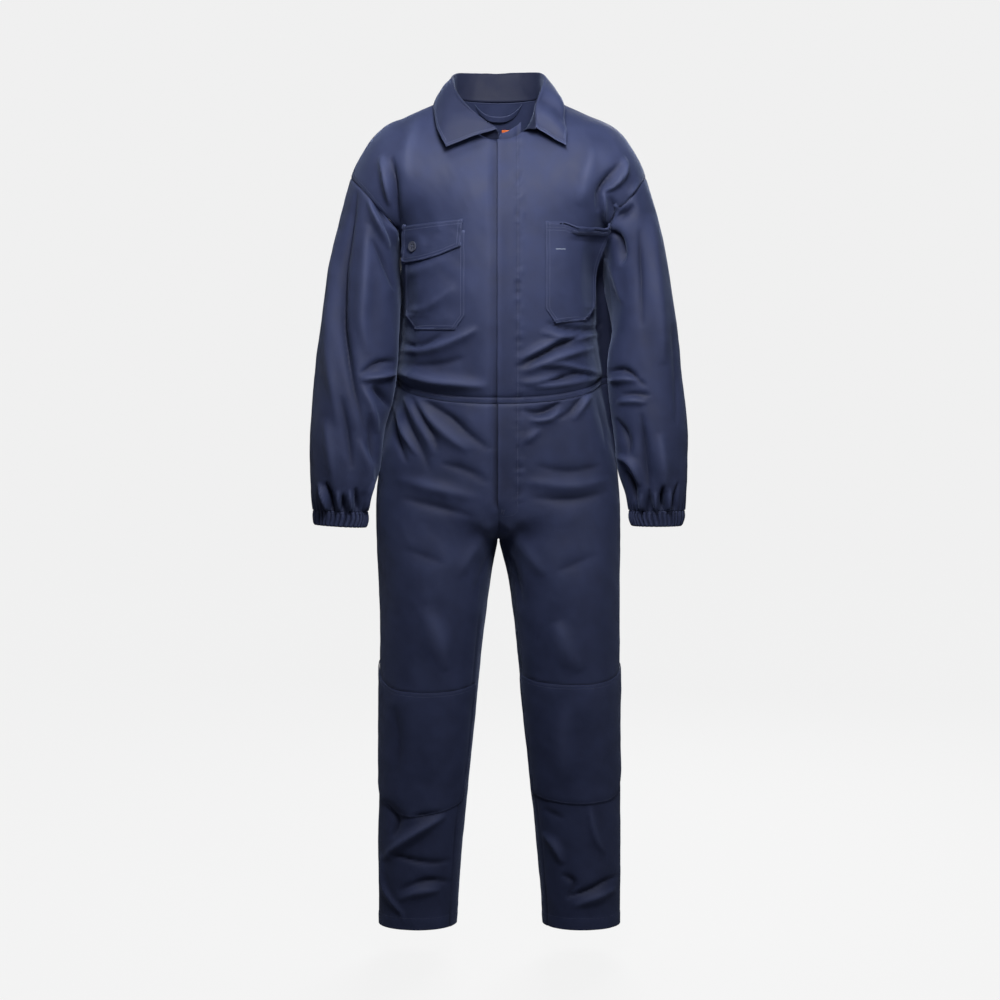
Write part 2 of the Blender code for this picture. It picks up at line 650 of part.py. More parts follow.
def pocketPlaces(pocket, columns=7, rows=8):
    """Rows of places from the mouth down, drawn in towards the cut-off lower corners."""
    places = []
    for r in range(rows):
        down = r / (rows - 1)
        z = pocket["top"] + (pocket["bottom"] - pocket["top"]) * down
        cut = max(0.0, pocket["corner"] - (z - pocket["bottom"]))
        inner = pocket["inner"] + math.copysign(cut, pocket["outer"] - pocket["inner"]) * 0.6
        outer = pocket["outer"] - math.copysign(cut, pocket["outer"] - pocket["inner"]) * 0.6
        places.append([(inner + (outer - inner) * math.sin(c / (columns - 1) * math.pi / 2), z)
                       for c in range(columns)])
    return places


def addPockets(tree, cloth, plastic):
    addPatch("pocket_right", pocketPlaces(pocketRight), tree, pocketClear, patchWall, cloth)
    places = pocketPlaces(pocketLeft)
    down = np.linspace(0, 1, len(places))[:, None]
    across = np.linspace(0, 1, len(places[0]))[None, :]
    gape = pocketGape * np.exp(-((down / 0.14) ** 2)) * ease((across - 0.25) / 0.3) * ease((1 - across) / 0.2)
    addPatch("pocket_left", places, tree, pocketClear, patchWall, cloth, gape)
    flap = flapOutline
    places = []
    for r in range(4):
        row = []
        for c in range(9):
            across = math.sin(c / 8 * math.pi / 2)
            x = flap["inner"] + (flap["outer"] - flap["inner"]) * across
            top = flap["innerTop"] + (flap["outerTop"] - flap["innerTop"]) * across
            reach = min(across / flap["point"], 1.0)
            low = flap["innerLow"] + (flap["outerLow"] - flap["innerLow"]) * reach
            row.append((x, top + (low - top) * r / 3))
        places.append(row)
    addPatch("pocket_flap", places, tree, flapClear, flapWall, cloth)
    x, z = buttonPlace
    seat = onFront(tree, x, z, buttonClear)
    facing = onFront(tree, x, z, buttonClear + 1.0) - seat
    addButton("pocket_button", seat, Vector(facing), plastic)


def addButton(name, seat, facing, slot):
    """Rimmed button, turned from its half profile about its own axis."""
    profile = [(0.0, 0.0), (0.80, 0.0), (1.0, 0.35), (1.0, 0.75),
               (0.88, 1.0), (0.74, 0.95), (0.66, 0.62), (0.0, 0.60)]
    around = 16
    turn = facing.to_track_quat("Z", "Y")
    points, faces = [], []
    for radius, height in profile[1:-1]:
        for k in range(around):
            angle = 2 * math.pi * k / around
            local = Vector((math.cos(angle) * radius * buttonRadius,
                            math.sin(angle) * radius * buttonRadius, height * buttonThick))
            points.append(np.array(turn @ local) + seat)
    for end in (profile[0], profile[-1]):
        points.append(np.array(turn @ Vector((0, 0, end[1] * buttonThick))) + seat)
    rings = len(profile) - 2
    for r in range(rings - 1):
        for k in range(around):
            n = (k + 1) % around
            faces.append((r * around + k, r * around + n, (r + 1) * around + n, (r + 1) * around + k))
    for k in range(around):
        n = (k + 1) % around
        faces.append((rings * around, n, k))
        faces.append((rings * around + 1, (rings - 1) * around + k, (rings - 1) * around + n))
    addObject(name, points, faces, slot)


def addKneePatches(panels, cloth):
    """Second layer over each knee on the leg panel's own columns."""
    for side in ("right", "left"):
        grid, normals = panels["leg_front_" + side]["grid"], panels["leg_front_" + side]["normals"]
        levels = np.array(legLevels)
        inner, middle, outer = kneeTops[side]
        shares = np.linspace(0, 1, grid.shape[1])
        tops = inner * (1 - shares) * (1 - 2 * shares) + 4 * middle * shares * (1 - shares)
        tops += outer * shares * (2 * shares - 1)
        inside = [z for z in legLevels if kneePatch["bottom"] < z < tops.min()]
        rows = [downPanel(grid, normals, levels, tops)]
        rows += [downPanel(grid, normals, levels, np.full(len(shares), z)) for z in inside]
        rows.append(downPanel(grid, normals, levels, np.full(len(shares), kneePatch["bottom"])))
        rows = np.array(rows)
        rows[:, 0, :3] += (rows[:, 1, :3] - rows[:, 0, :3]) * kneePatch["inset"]
        rows[:, -1, :3] += (rows[:, -2, :3] - rows[:, -1, :3]) * kneePatch["inset"]
        outer = rows[..., :3] + rows[..., 3:] * (kneePatch["clear"] + patchWall)
        addWall("knee_patch_" + side, outer, rows[..., 3:], patchWall, cloth)


def downPanel(grid, normals, levels, heights):
    """Points and wall directions across a leg panel, one height for each of its columns."""
    row = []
    for c, z in enumerate(heights):
        low = int(np.searchsorted(-levels, -z, side="right")) - 1
        part = (levels[low] - z) / (levels[low] - levels[low + 1])
        place = grid[low, c] * (1 - part) + grid[low + 1, c] * part
        way = normals[low, c] * (1 - part) + normals[low + 1, c] * part
        row.append(np.concatenate([place, way / np.linalg.norm(way)]))
    return row


def addCuffs(cloth):
    for side, sign in (("right", -1), ("left", 1)):
        turns = np.linspace(0, 2 * math.pi, 16, endpoint=False)
        shares = np.linspace(0, 1, 4)
        grid = tubePoint(cuffColumns, cuffRows[side], shares[:, None], turns[None, :], sign)
        normals = facedOut(grid, gridNormals(grid, True), grid.mean(axis=1, keepdims=True))
        addWall("cuff_" + side, grid + normals * 0.0004, normals, cuffWall, cloth, closed=True)


def neckLine(panels):
    """Neckline of the wearer's left as it lies on the panels, from the middle of the back."""
    back, front = panels["back"]["grid"][-1], panels["front_left"]["grid"][-1]
    middle = len(back) // 2
    count = sum(1 for share in panelShares if share <= neckShare) + 1
    behind = back[middle:middle + count]
    ahead = [p for p, share in zip(front[3:], [s for s in panelShares if s > 0.2]) if share < neckShare]
    ahead = np.array(ahead[::-1] + [front[2], front[1]])
    return behind, np.concatenate([behind[-1:], ahead])


def alongLine(line, share):
    """Point at a share of the length of a run of straight stretches."""
    steps = np.concatenate([[0], np.cumsum(np.linalg.norm(np.diff(line, axis=0), axis=1))])
    return np.array([np.interp(share * steps[-1], steps, line[:, k]) for k in range(3)])


def addCollar(panels, cloth):
    """One-piece collar: up from the neckline to the roll line, then out and down to its edge."""
    along = np.concatenate([np.linspace(0, 0.5, 6), np.linspace(0.5, 0.955, 7)[1:]])
    value = {name: lookUp(collarColumns, collarRows, name, along) for name in collarColumns[1:]}
    behind, ahead = neckLine(panels)
    half = []
    for k, share in enumerate(along):
        base = alongLine(behind, share * 2) if share <= 0.5 else alongLine(ahead, (share - 0.5) * 2)
        base = base + (0, 0, 0.0012)
        roll = np.array([value["rollX"][k], value["rollY"][k], value["rollZ"][k]])
        edge = np.array([value["edgeX"][k], value["edgeY"][k], value["edgeZ"][k]])
        away = edge - roll
        away[2] = 0
        away = away / max(np.linalg.norm(away), 1e-9)
        crest = roll + away * 0.0030 + (0, 0, -0.0004)
        half.append([base, base + (roll - base) * 0.5, roll, crest,
                     crest + (edge - crest) * 0.33, crest + (edge - crest) * 0.66, edge])
    half = np.array(half)
    other = half[1:][::-1] * (-1, 1, 1)
    grid = np.concatenate([other, half])
    across, along = np.gradient(grid, axis=1), np.gradient(grid, axis=0)
    normals = np.cross(across, along)
    normals = normals / np.linalg.norm(normals, axis=-1, keepdims=True)
    if normals[len(grid) // 2, 0, 1] > 0:
        normals = -normals
    addWall("collar", grid, normals, -clothWall, cloth)


def addNeckTrim(panels, cloth, patch):
    """Hanger loop and plain label on the inside of the back neck."""
    grid, normals = panels["back"]["grid"], panels["back"]["normals"]
    points = [Vector(p) for p in grid.reshape(-1, 3)]
    columns = grid.shape[1]
    faces = [(r * columns + c, r * columns + c + 1, (r + 1) * columns + c + 1, (r + 1) * columns + c)
             for r in range(grid.shape[0] - 1) for c in range(columns - 1)]
    tree = BVHTree.FromPolygons(points, faces)

    def inside(x, z, clear):
        hit, normal = tree.ray_cast(Vector((x, 0.0, z)), Vector((0.0, 1.0, 0.0)))[:2]
        return np.array((x, hit.y - (clothWall + clear) / abs(normal.y), z))

    rows = []
    for edge in (0, 1):
        row = []
        for k in range(13):
            way = k / 12 * 2 - 1
            sag = loop["drop"] * (1 - abs(way) ** 2.6)
            x = loop["half"] * way * (1 - 0.10 * edge)
            z = neckBackZ - 0.007 - sag - edge * loop["wide"]
            row.append(inside(x, z, 0.0026 + loop["stand"] * (1 - abs(way) ** 2)))
        rows.append(row)
    grid = np.array(rows)
    normals = facedOut(grid, gridNormals(grid, False), grid + (0, 1, 0))
    addWall("hanger_loop", grid, normals, loop["thick"], cloth)
    rows = [[inside(x + label["x"], z, label["stand"]) for x in np.linspace(-label["half"], label["half"], 5)]
            for z in np.linspace(label["top"], label["bottom"], 3)]
    grid = np.array(rows)
    normals = facedOut(grid, gridNormals(grid, False), grid + (0, 1, 0))
    addWall("neck_label", grid, normals, label["thick"], patch)


def main():
    for old in list(bpy.data.objects):
        bpy.data.objects.remove(old, do_unlink=True)
    cloth = material("navy_twill", navy, 0.75)
    patch = material("orange_label", orange, 0.7)
    plastic = material("dark_button", darkPlastic, 0.4)
    panels = addPanels(cloth)
    addFlyFacing(panels, cloth)
    tree = surfaceBelow(panels, ["front_right", "front_left"])
    addPockets(tree, cloth, plastic)
    addKneePatches(panels, cloth)
    addCuffs(cloth)
    addCollar(panels, cloth)
    addNeckTrim(panels, cloth, patch)


main()
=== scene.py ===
# Boiler suit, worn shape with nobody inside: cloth sheets, seams, stitches, button and studio.
# Metres, +Z up, front towards -Y. The wearer's right is -X.
import math

import bpy
import numpy as np
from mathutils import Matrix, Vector
from mathutils.bvhtree import BVHTree


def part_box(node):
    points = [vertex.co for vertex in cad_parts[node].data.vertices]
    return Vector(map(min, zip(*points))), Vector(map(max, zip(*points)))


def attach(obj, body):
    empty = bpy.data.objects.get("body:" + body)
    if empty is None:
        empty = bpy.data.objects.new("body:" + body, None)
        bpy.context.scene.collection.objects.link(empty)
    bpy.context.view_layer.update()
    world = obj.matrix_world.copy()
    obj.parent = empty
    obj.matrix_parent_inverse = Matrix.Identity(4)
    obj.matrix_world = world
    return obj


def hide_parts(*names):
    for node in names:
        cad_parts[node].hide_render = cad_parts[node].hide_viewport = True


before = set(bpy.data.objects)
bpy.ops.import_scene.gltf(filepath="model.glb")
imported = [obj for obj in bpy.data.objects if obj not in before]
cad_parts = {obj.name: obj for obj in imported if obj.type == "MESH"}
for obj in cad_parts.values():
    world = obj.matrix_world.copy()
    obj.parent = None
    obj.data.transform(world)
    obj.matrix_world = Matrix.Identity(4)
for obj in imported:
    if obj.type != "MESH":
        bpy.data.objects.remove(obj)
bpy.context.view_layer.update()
print("frame loaded")

# ---- body of the suit: the same sections as the fixed frame
torso = {
    "underarm": -0.251, "waistSide": -0.533, "waistFrontDip": 0.0375, "waistBackDip": 0.01,
    "splitTop": -0.69, "crotch": -0.828, "hem": -1.5705, "square": 0.87,
}
neck = {
    "half": 0.088, "frontY": -0.086, "backY": 0.062, "midY": 0.004,
    "frontZ": -0.084, "backZ": -0.002, "sideZ": 0.004, "share": 0.36,
}
fly = {"end": -0.775, "edge": 0.001, "under": 0.03, "stitch": 0.036, "step": 0.0044, "lift": 0.0026}

camera = {"x": 0.003, "away": 4.5, "height": -0.45, "tiltDown": 3.9, "lens": 85.3, "sensor": 36.0}

# the side seam behind each sleeve: where it starts to swing out, over what height, how far back and out
flare = {"right": (-0.31, 0.07, 0.04, 0.012), "left": (-0.275, 0.065, 0.055, 0.032), "end": -0.72, "fade": 0.2}
legLean = {"right": -0.001, "left": 0.0035, "over": 0.1}

torsoColumns = ("z", "right", "left", "front", "back")
torsoRows = [
    (-0.251, 0.184, 0.195, 0.128, 0.122),
    (-0.33, 0.183, 0.19, 0.134, 0.118),
    (-0.42, 0.183, 0.189, 0.134, 0.108),
    (-0.5, 0.187, 0.193, 0.128, 0.101),
    (-0.545, 0.1935, 0.1995, 0.122, 0.1),
    (-0.6, 0.207, 0.211, 0.123, 0.11),
    (-0.66, 0.2225, 0.2215, 0.122, 0.126),
    (-0.72, 0.2285, 0.2285, 0.119, 0.137),
    (-0.78, 0.2325, 0.2325, 0.116, 0.14),
    (-0.836, 0.2318, 0.2318, 0.112, 0.138),
]
legColumns = ("z", "inner", "outer", "front", "back")
legRows = [
    (-0.836, 0.0028, 0.2318, 0.112, 0.138),
    (-0.893, 0.0143, 0.229, 0.112, 0.128),
    (-0.97, 0.024, 0.228, 0.108, 0.115),
    (-1.05, 0.0335, 0.228, 0.103, 0.102),
    (-1.12, 0.0408, 0.2285, 0.098, 0.092),
    (-1.2, 0.0487, 0.229, 0.09, 0.09),
    (-1.3, 0.0587, 0.23, 0.08, 0.09),
    (-1.42, 0.0709, 0.232, 0.073, 0.086),
    (-1.5705, 0.0822, 0.231, 0.068, 0.08),
]
shoulderColumns = ("share", "x", "z")
shoulderRows = [
    (0.0, 0.088, 0.004),
    (0.14, 0.119, -0.0076),
    (0.36, 0.168, -0.0304),
    (0.58, 0.2157, -0.0532),
    (0.72, 0.24, -0.076),
    (0.93, 0.2727, -0.133),
    (1.0, 0.278, -0.148),
]
sleeveColumns = ("share", "outerX", "outerZ", "innerX", "innerZ", "midY", "deep")
sleeveRows = {
    "right": [
        (0.0, 0.278, -0.148, 0.184, -0.251, 0.0, 0.079),
        (0.05, 0.287, -0.176, 0.187, -0.274, 0.0, 0.079),
        (0.11, 0.2975, -0.215, 0.1885, -0.308, 0.0, 0.078),
        (0.22, 0.3135, -0.288, 0.1885, -0.361, -0.003, 0.075),
        (0.36, 0.3297, -0.38, 0.189, -0.4275, -0.008, 0.072),
        (0.5, 0.343, -0.475, 0.1915, -0.498, -0.014, 0.07),
        (0.62, 0.3506, -0.551, 0.1985, -0.5624, -0.02, 0.069),
        (0.74, 0.3563, -0.622, 0.2145, -0.622, -0.025, 0.066),
        (0.86, 0.3563, -0.697, 0.225, -0.697, -0.029, 0.058),
        (0.95, 0.3534, -0.747, 0.2405, -0.747, -0.031, 0.047),
        (1.0, 0.3487, -0.7718, 0.248, -0.7748, -0.032, 0.032),
    ],
    "left": [
        (0.0, 0.278, -0.148, 0.195, -0.251, 0.0, 0.079),
        (0.05, 0.287, -0.176, 0.2, -0.274, 0.0, 0.079),
        (0.11, 0.299, -0.215, 0.208, -0.308, 0.0, 0.078),
        (0.22, 0.315, -0.288, 0.218, -0.361, -0.003, 0.075),
        (0.36, 0.3297, -0.38, 0.217, -0.4275, -0.008, 0.072),
        (0.5, 0.343, -0.475, 0.2055, -0.498, -0.014, 0.07),
        (0.62, 0.3506, -0.551, 0.208, -0.5624, -0.02, 0.069),
        (0.74, 0.3563, -0.622, 0.2165, -0.622, -0.025, 0.066),
        (0.86, 0.3563, -0.697, 0.225, -0.697, -0.029, 0.058),
        (0.95, 0.3544, -0.747, 0.2405, -0.747, -0.031, 0.047),
        (1.0, 0.3505, -0.7726, 0.248, -0.7726, -0.032, 0.032),
    ],
}
cuffRows = {
    "right": [
        (0.0, 0.3487, -0.7722, 0.248, -0.7752, -0.032, 0.032),
        (0.5, 0.349, -0.787, 0.247, -0.7915, -0.032, 0.03),
        (1.0, 0.3475, -0.801, 0.2505, -0.8065, -0.032, 0.0285),
    ],
    "left": [
        (0.0, 0.3505, -0.773, 0.248, -0.773, -0.032, 0.032),
        (0.5, 0.35, -0.7885, 0.248, -0.7885, -0.032, 0.03),
        (1.0, 0.345, -0.8035, 0.253, -0.8035, -0.032, 0.0285),
    ],
}

# ---- folds in millimetres: half width, height, then X and Z of each place along it as seen from the front
# a positive height stands out of the cloth, a negative one sinks into it
bodyFolds = [
    # wearer's right, shoulder and chest
    (6.2, -8.5, -202, -108, -196, -145, -192, -190, -186, -236),
    (7.5, 7.2, -222, -105, -212, -150, -205, -200),
    (16, 3, -150, -30, -170, -90, -176, -160),
    (12, 3.5, -162, -399, -134, -390, -81, -352),
    (12, 2.5, -170, -330, -140, -318, -100, -300),
    (5, -4.5, -183, -454, -150, -464, -107, -443),
    (9.5, 6.5, -186, -473, -130, -470, -73, -448, -40, -430),
    (9, -4.5, -188, -498, -120, -500, -60, -485),
    (12, 8.5, -190, -514, -130, -529, -64, -536, -20, -540),
    # wearer's left, shoulder and chest
    (5.8, 9.5, 238, -108, 236, -137, 218.5, -160.5, 197.5, -173),
    (8, -10.5, 229, -121, 206, -148, 191, -176, 187, -212),
    (4.8, 9.5, 197.5, -168, 200, -200, 203, -234),
    (12.5, -7.8, 210, -182, 224, -214, 244, -212, 258, -198),
    (5, 4, 267, -150, 244, -184),
    (15, 3.5, 178, -90, 166, -150, 150, -200),
    (15, -5, 165, -260, 172, -320, 170, -385),
    (5.5, -5.5, 88, -418, 126, -430, 178, -432, 195, -416),
    (8, 6, 79, -437, 136, -448, 192, -440),
    (6, -7, 34, -507, 79, -482.6, 120.6, -460, 166, -439, 188, -433),
    (8, 5.5, 38, -490, 88, -464, 126, -445),
    (9.5, 6, 45, -515, 88, -494, 145, -475, 193, -466),
    (6, 5, 79, -500, 128, -500, 159, -509, 192, -519),
    (4.5, -5, 75, -534, 113, -526, 151, -516, 184, -520),
    (6.5, 5.5, 42, -534, 79, -529, 117, -518),
    (6, 4, 60, -542, 120, -536, 185, -526),
    # below the waist, wearer's right
    (10, -5, -144, -566, -92, -600, -54, -634, -12, -664),
    (11, 5, -158, -563, -130, -604, -92, -638, -54, -665),
    (7.5, -4.2, -164, -560, -141.6, -604, -122.6, -638, -117, -668),
    (8, 4.5, -180, -556, -153, -608, -130, -650, -124, -672),
    (8, -4, -187, -560, -168, -619, -141.6, -673, -128, -706),
    (6, 5, -196, -575, -180, -627, -155, -672),
    (6, -4.5, -202, -585, -193, -638, -172, -690),
    (11, -3.5, -111, -686, -54, -703, -14, -728),
    (14, -3, -187, -752, -110, -772, -35, -792),
    (13, 3, -200, -715, -120, -735, -40, -755),
    # below the waist, wearer's left
    (7.5, -6, 45, -584, 71, -592, 98, -584, 119, -568),
    (6, -5, 107, -606, 136, -589, 159, -562, 172, -545),
    (7.5, 5, 143, -606, 166, -566, 176, -545),
    (8, 4, 60, -606, 95, -602, 120, -586),
    (7, 3.5, 46, -650, 79, -622),
    (8, -3.5, 185, -560, 200, -610, 205, -660),
    (12, -3.5, 70, -690, 130, -703, 196, -692),
    (13, -3.5, 60, -752, 140, -756, 212, -740),
    (13, 3, 50, -722, 140, -730, 215, -716),
    # crotch
    (13, 3, -12, -800, -45, -850, -80, -905),
    (9, -2.2, -10, -845, -30, -890, -50, -950),
    (13, 3, 12, -800, 45, -845, 90, -900),
    (9, -2.2, 10, -848, 32, -900, 48, -965),
    (16, -2.5, -180, -850, -100, -880),
    (16, -2.5, 190, -860, 110, -895),
    # knees
    (20, 4.5, -140, -960, -118, -1020, -100, -1085),
    (20, 4.5, 110, -990, 130, -1045, 160, -1085),
    (16, -3, -200, -1150, -190, -1220, -196, -1290),
    (20, 2.5, 130, -1140, 122, -1220, 135, -1300),
    # lower leg, wearer's right
    (9.5, 5.3, -100, -1362, -159, -1398, -200, -1429, -224, -1452),
    (14, -6, -222, -1330, -196, -1372, -206, -1410),
    (7, -2.6, -166, -1366, -111, -1357),
    (7, -4.1, -212, -1436, -170, -1450, -126, -1456, -88, -1450),
    (7, -3.7, -194, -1512, -159, -1496, -126, -1490, -88, -1494),
    (9, 3.4, -196, -1530, -160, -1515, -110, -1508),
    (4.2, 3.4, -226, -1440, -222, -1497, -207, -1530, -187, -1556, -181, -1580),
    # lower leg, wearer's left
    (8, 4.5, 85, -1398, 109, -1425, 124, -1460),
    (8, -2.6, 84, -1350, 126, -1372),
    (8, -4.1, 120, -1478, 145, -1495, 134, -1524),
    (6, -4.9, 130, -1524, 174, -1509, 210, -1490, 231, -1480),
    (9, 3.7, 143, -1541, 193, -1522, 227, -1505),
    (6.5, 3, 174, -1345, 187, -1406, 205, -1440),
]
armFolds = [
    # wearer's right sleeve
    (10.5, -9.5, -267, -170, -284, -272, -293.5, -336, -296, -420, -284, -494, -272, -552, -252, -632),
    (13, 4.5, -248, -235, -253.6, -336, -259, -420, -246, -480),
    (12, 4.5, -303, -240, -317, -361, -322, -475, -305, -615),
    (6.5, 6, -246, -185, -225, -241, -207, -280),
    (5, -6, -240, -190, -214, -224, -196, -246),
    (6, 5, -222, -205, -200, -245, -190, -280),
    (8, -5, -240, -262, -215, -310, -196, -360),
    (6.2, -7, -264, -517, -225, -496, -190, -493),
    (7.2, 7.2, -260, -528, -225, -522.5, -192, -515),
    (9.5, -8, -240, -540, -216, -562, -200, -585),
    (7, 5, -260, -538, -242, -578, -231, -630),
    (8, -5, -246, -590, -243, -627, -240, -685),
    (8.5, 4.5, -265, -640, -245, -700, -258, -745),
    (12, -4.5, -300, -560, -285, -640, -278, -700),
    (11, 3.5, -330, -600, -318, -680, -312, -740),
    (3.5, 7.5, -342, -725, -331, -752, -322, -782),
    (4.2, -9.5, -330, -722, -321, -750, -314, -784),
    (3.5, 5.5, -306, -738, -304, -786),
    (3.2, -6.5, -296, -746, -297, -788),
    (3.6, 5.5, -283, -738, -284, -786),
    (3.6, -7, -272, -732, -268, -786),
    (3.6, 6.5, -239, -712, -251, -745, -257, -784),
    # wearer's left sleeve
    (10.5, -13.5, 206, -248, 224, -264, 233, -310),
    (6.5, 5.5, 200, -296, 221, -334, 235, -385),
    (16, 5, 290, -215, 303, -370, 312.6, -500),
    (14, -4.5, 268, -240, 270, -330, 272, -430),
    (12, -3.5, 330, -420, 338, -520, 338, -620),
    (5, -5.5, 203, -513, 240, -510, 282, -541),
    (7, 5, 208, -530, 245, -527, 275, -528),
    (4.2, -4, 230, -555, 290, -556),
    (7, 4.5, 222, -571, 255, -568, 282, -572),
    (9, -4, 222, -600, 245, -640, 250, -670),
    (7, 7, 224, -674, 253.6, -688, 270, -730),
    (7, -7.5, 240, -698, 252, -725, 262, -762),
    (11, -5.5, 271, -590, 280, -678, 288, -745),
    (12, 4, 307, -630, 318, -745),
    (3.6, -7, 343, -722, 336, -750, 330, -784),
    (3.6, 6, 326, -735, 322, -786),
    (4, -8.5, 314, -728, 311, -756, 312, -786),
    (3.4, 5, 298, -742, 300, -786),
    (3.4, -6.5, 286, -736, 289, -786),
    (3.4, 5.5, 272, -744, 274, -786),
]
# the same kinds of fold behind
backFolds = [
    (13, -5, -205, -120, -180, -180, -150, -240),
    (15, 4.5, -190, -100, -160, -160, -120, -220),
    (12, -5.5, 212, -125, 188, -190, 165, -255),
    (15, 4.5, 195, -105, 165, -170, 130, -235),
    (16, 3, -60, -90, 0, -110, 70, -88),
    (10, 6, -180, -470, -100, -486, -20, -478),
    (10, 5.5, 180, -462, 110, -482, 40, -476),
    (11, 8, -184, -500, -90, -514, 0, -512, 100, -514, 190, -498),
    (8, -4.5, -150, -440, -80, -446, -30, -430),
    (8, -4.5, 30, -430, 100, -448, 165, -434),
    (9, -5, -170, -560, -130, -610, -85, -640),
    (10, 5, -150, -556, -100, -600, -50, -625),
    (9, -5, 165, -558, 128, -606, 90, -642),
    (10, 5, 140, -556, 95, -602, 55, -628),
    (12, -6, -200, -820, -130, -850, -50, -845),
    (13, 5, -190, -850, -120, -882, -50, -880),
    (12, -6, 205, -815, 135, -850, 50, -848),
    (13, 5, 190, -852, 120, -886, 55, -882),
    (9, -6, -210, -1105, -140, -1130, -65, -1115),
    (10, 5.5, -205, -1135, -130, -1158, -70, -1148),
    (8, -4.5, -200, -1180, -140, -1170, -80, -1185),
    (9, -6, 212, -1100, 140, -1128, 62, -1110),
    (10, 5.5, 206, -1132, 135, -1156, 70, -1140),
    (8, -4.5, 205, -1172, 150, -1188, 85, -1176),
    (8.5, -5, -200, -1440, -140, -1465, -95, -1455),
    (9, 5, -205, -1480, -150, -1500, -100, -1525),
    (8.5, -5, 210, -1430, 150, -1458, 95, -1450),
    (9, 5, 215, -1470, 160, -1495, 110, -1520),
]
# folds of the front panel beside the left armhole, which run on over the sleeve
armholeFolds = bodyFolds[9:14]
foldGain = {"arms": 1.25, "body": 1.05}
backArmFolds = [
    (12, -7, -255, -180, -270, -300, -275, -420),
    (13, 4.5, -300, -230, -310, -350, -315, -480),
    (8, 5.5, -225, -200, -215, -260, -205, -330),
    (8, -6, -320, -500, -270, -515, -215, -500),
    (8.5, 5.5, -322, -525, -265, -540, -215, -530),
    (10, -5.5, -260, -590, -280, -660, -290, -740),
    (10, 4.5, -315, -610, -315, -680, -310, -745),
    (12, -7, 252, -185, 266, -300, 272, -430),
    (13, 4.5, 300, -240, 312, -360, 318, -470),
    (8, 5.5, 228, -205, 226, -270, 228, -340),
    (8, -6, 325, -495, 272, -512, 220, -498),
    (8.5, 5.5, 322, -522, 270, -538, 222, -532),
    (10, -5.5, 258, -600, 276, -670, 288, -742),
    (10, 4.5, 316, -600, 318, -680, 312, -745),
]


def lookUp(columns, rows, name, at):
    ordered = sorted(rows)
    stations = np.array([row[0] for row in ordered])
    values = np.array([row[columns.index(name)] for row in ordered])
    slopes = np.gradient(values, stations)
    at = np.clip(np.asarray(at, float), stations[0], stations[-1])
    low = np.clip(np.searchsorted(stations, at, side="right") - 1, 0, len(stations) - 2)
    span = stations[low + 1] - stations[low]
    t = (at - stations[low]) / span
    rise = values[low] * (1 + 2 * t) * (1 - t) ** 2 + values[low + 1] * t * t * (3 - 2 * t)
    return rise + span * (slopes[low] * t * (1 - t) ** 2 + slopes[low + 1] * t * t * (t - 1))


def tableValue(table, at):
    return lookUp(("at", "value"), table, "value", at)


def ease(t):
    t = np.clip(t, 0.0, 1.0)
    return t * t * (3 - 2 * t)


def bell(t):
    return np.exp(-(t ** 2))


def lengthOf(steps):
    return np.linalg.norm(steps, axis=-1)


def unit(steps):
    return steps / np.maximum(np.linalg.norm(steps, axis=-1, keepdims=True), 1e-12)


def runLengths(line):
    return np.concatenate([[0], np.cumsum(lengthOf(np.diff(line, axis=0)))])


def curved(value):
    return np.sign(value) * np.abs(value) ** torso["square"]


def point(x, y, z):
    return np.stack(np.broadcast_arrays(x, y, z), axis=-1)


def flared(share, z, side):
    start, span, back, out = flare[side]
    reach = ease((start - z) / span) * ease((z - flare["end"]) / flare["fade"])
    return out * reach * ease((share - 0.86) / 0.14), back * reach * ease((share - 0.55) / 0.35)


def ringPoint(z, share, side, back):
    half = lookUp(torsoColumns, torsoRows, side, z)
    deep = lookUp(torsoColumns, torsoRows, "back" if back else "front", z)
    share = np.asarray(share, float)
    turn = share * math.pi / 2
    sign = 1 if side == "left" else -1
    wider, behind = flared(share, z, side)
    y = deep * curved(np.cos(turn)) * (1 if back else -1) + behind
    return point(sign * (half * curved(np.sin(turn)) + wider), y, z)


def topPoint(share, side, back):
    sign = 1 if side == "left" else -1
    share = np.asarray(share, float)
    turn = np.clip(share / neck["share"], 0, 1) * math.pi / 2
    endY, endZ = (neck["backY"], neck["backZ"]) if back else (neck["frontY"], neck["frontZ"])
    edge = point(neck["half"] * np.sin(turn), neck["midY"] + (endY - neck["midY"]) * np.cos(turn),
                 neck["sideZ"] + (endZ - neck["sideZ"]) * np.cos(turn) ** 1.3)
    out = np.clip((share - neck["share"]) / (1 - neck["share"]), 0, 1)
    shoulder = point(lookUp(shoulderColumns, shoulderRows, "x", out), neck["midY"] * (1 - out),
                     lookUp(shoulderColumns, shoulderRows, "z", out))
    return np.where(np.expand_dims(share < neck["share"], -1), edge, shoulder) * (sign, 1, 1)


def armholePoint(share, side, back):
    turn = (np.asarray(share) - 0.5) * math.pi
    first = dict(zip(sleeveColumns, sleeveRows[side][0]))
    midX, midZ = (first["outerX"] + first["innerX"]) / 2, (first["outerZ"] + first["innerZ"]) / 2
    halfX, halfZ = (first["outerX"] - first["innerX"]) / 2, (first["outerZ"] - first["innerZ"]) / 2
    sign = 1 if side == "left" else -1
    y = first["deep"] * np.cos(turn) * (1 if back else -1)
    return point(sign * (midX + halfX * np.sin(turn)), y, midZ + halfZ * np.sin(turn))


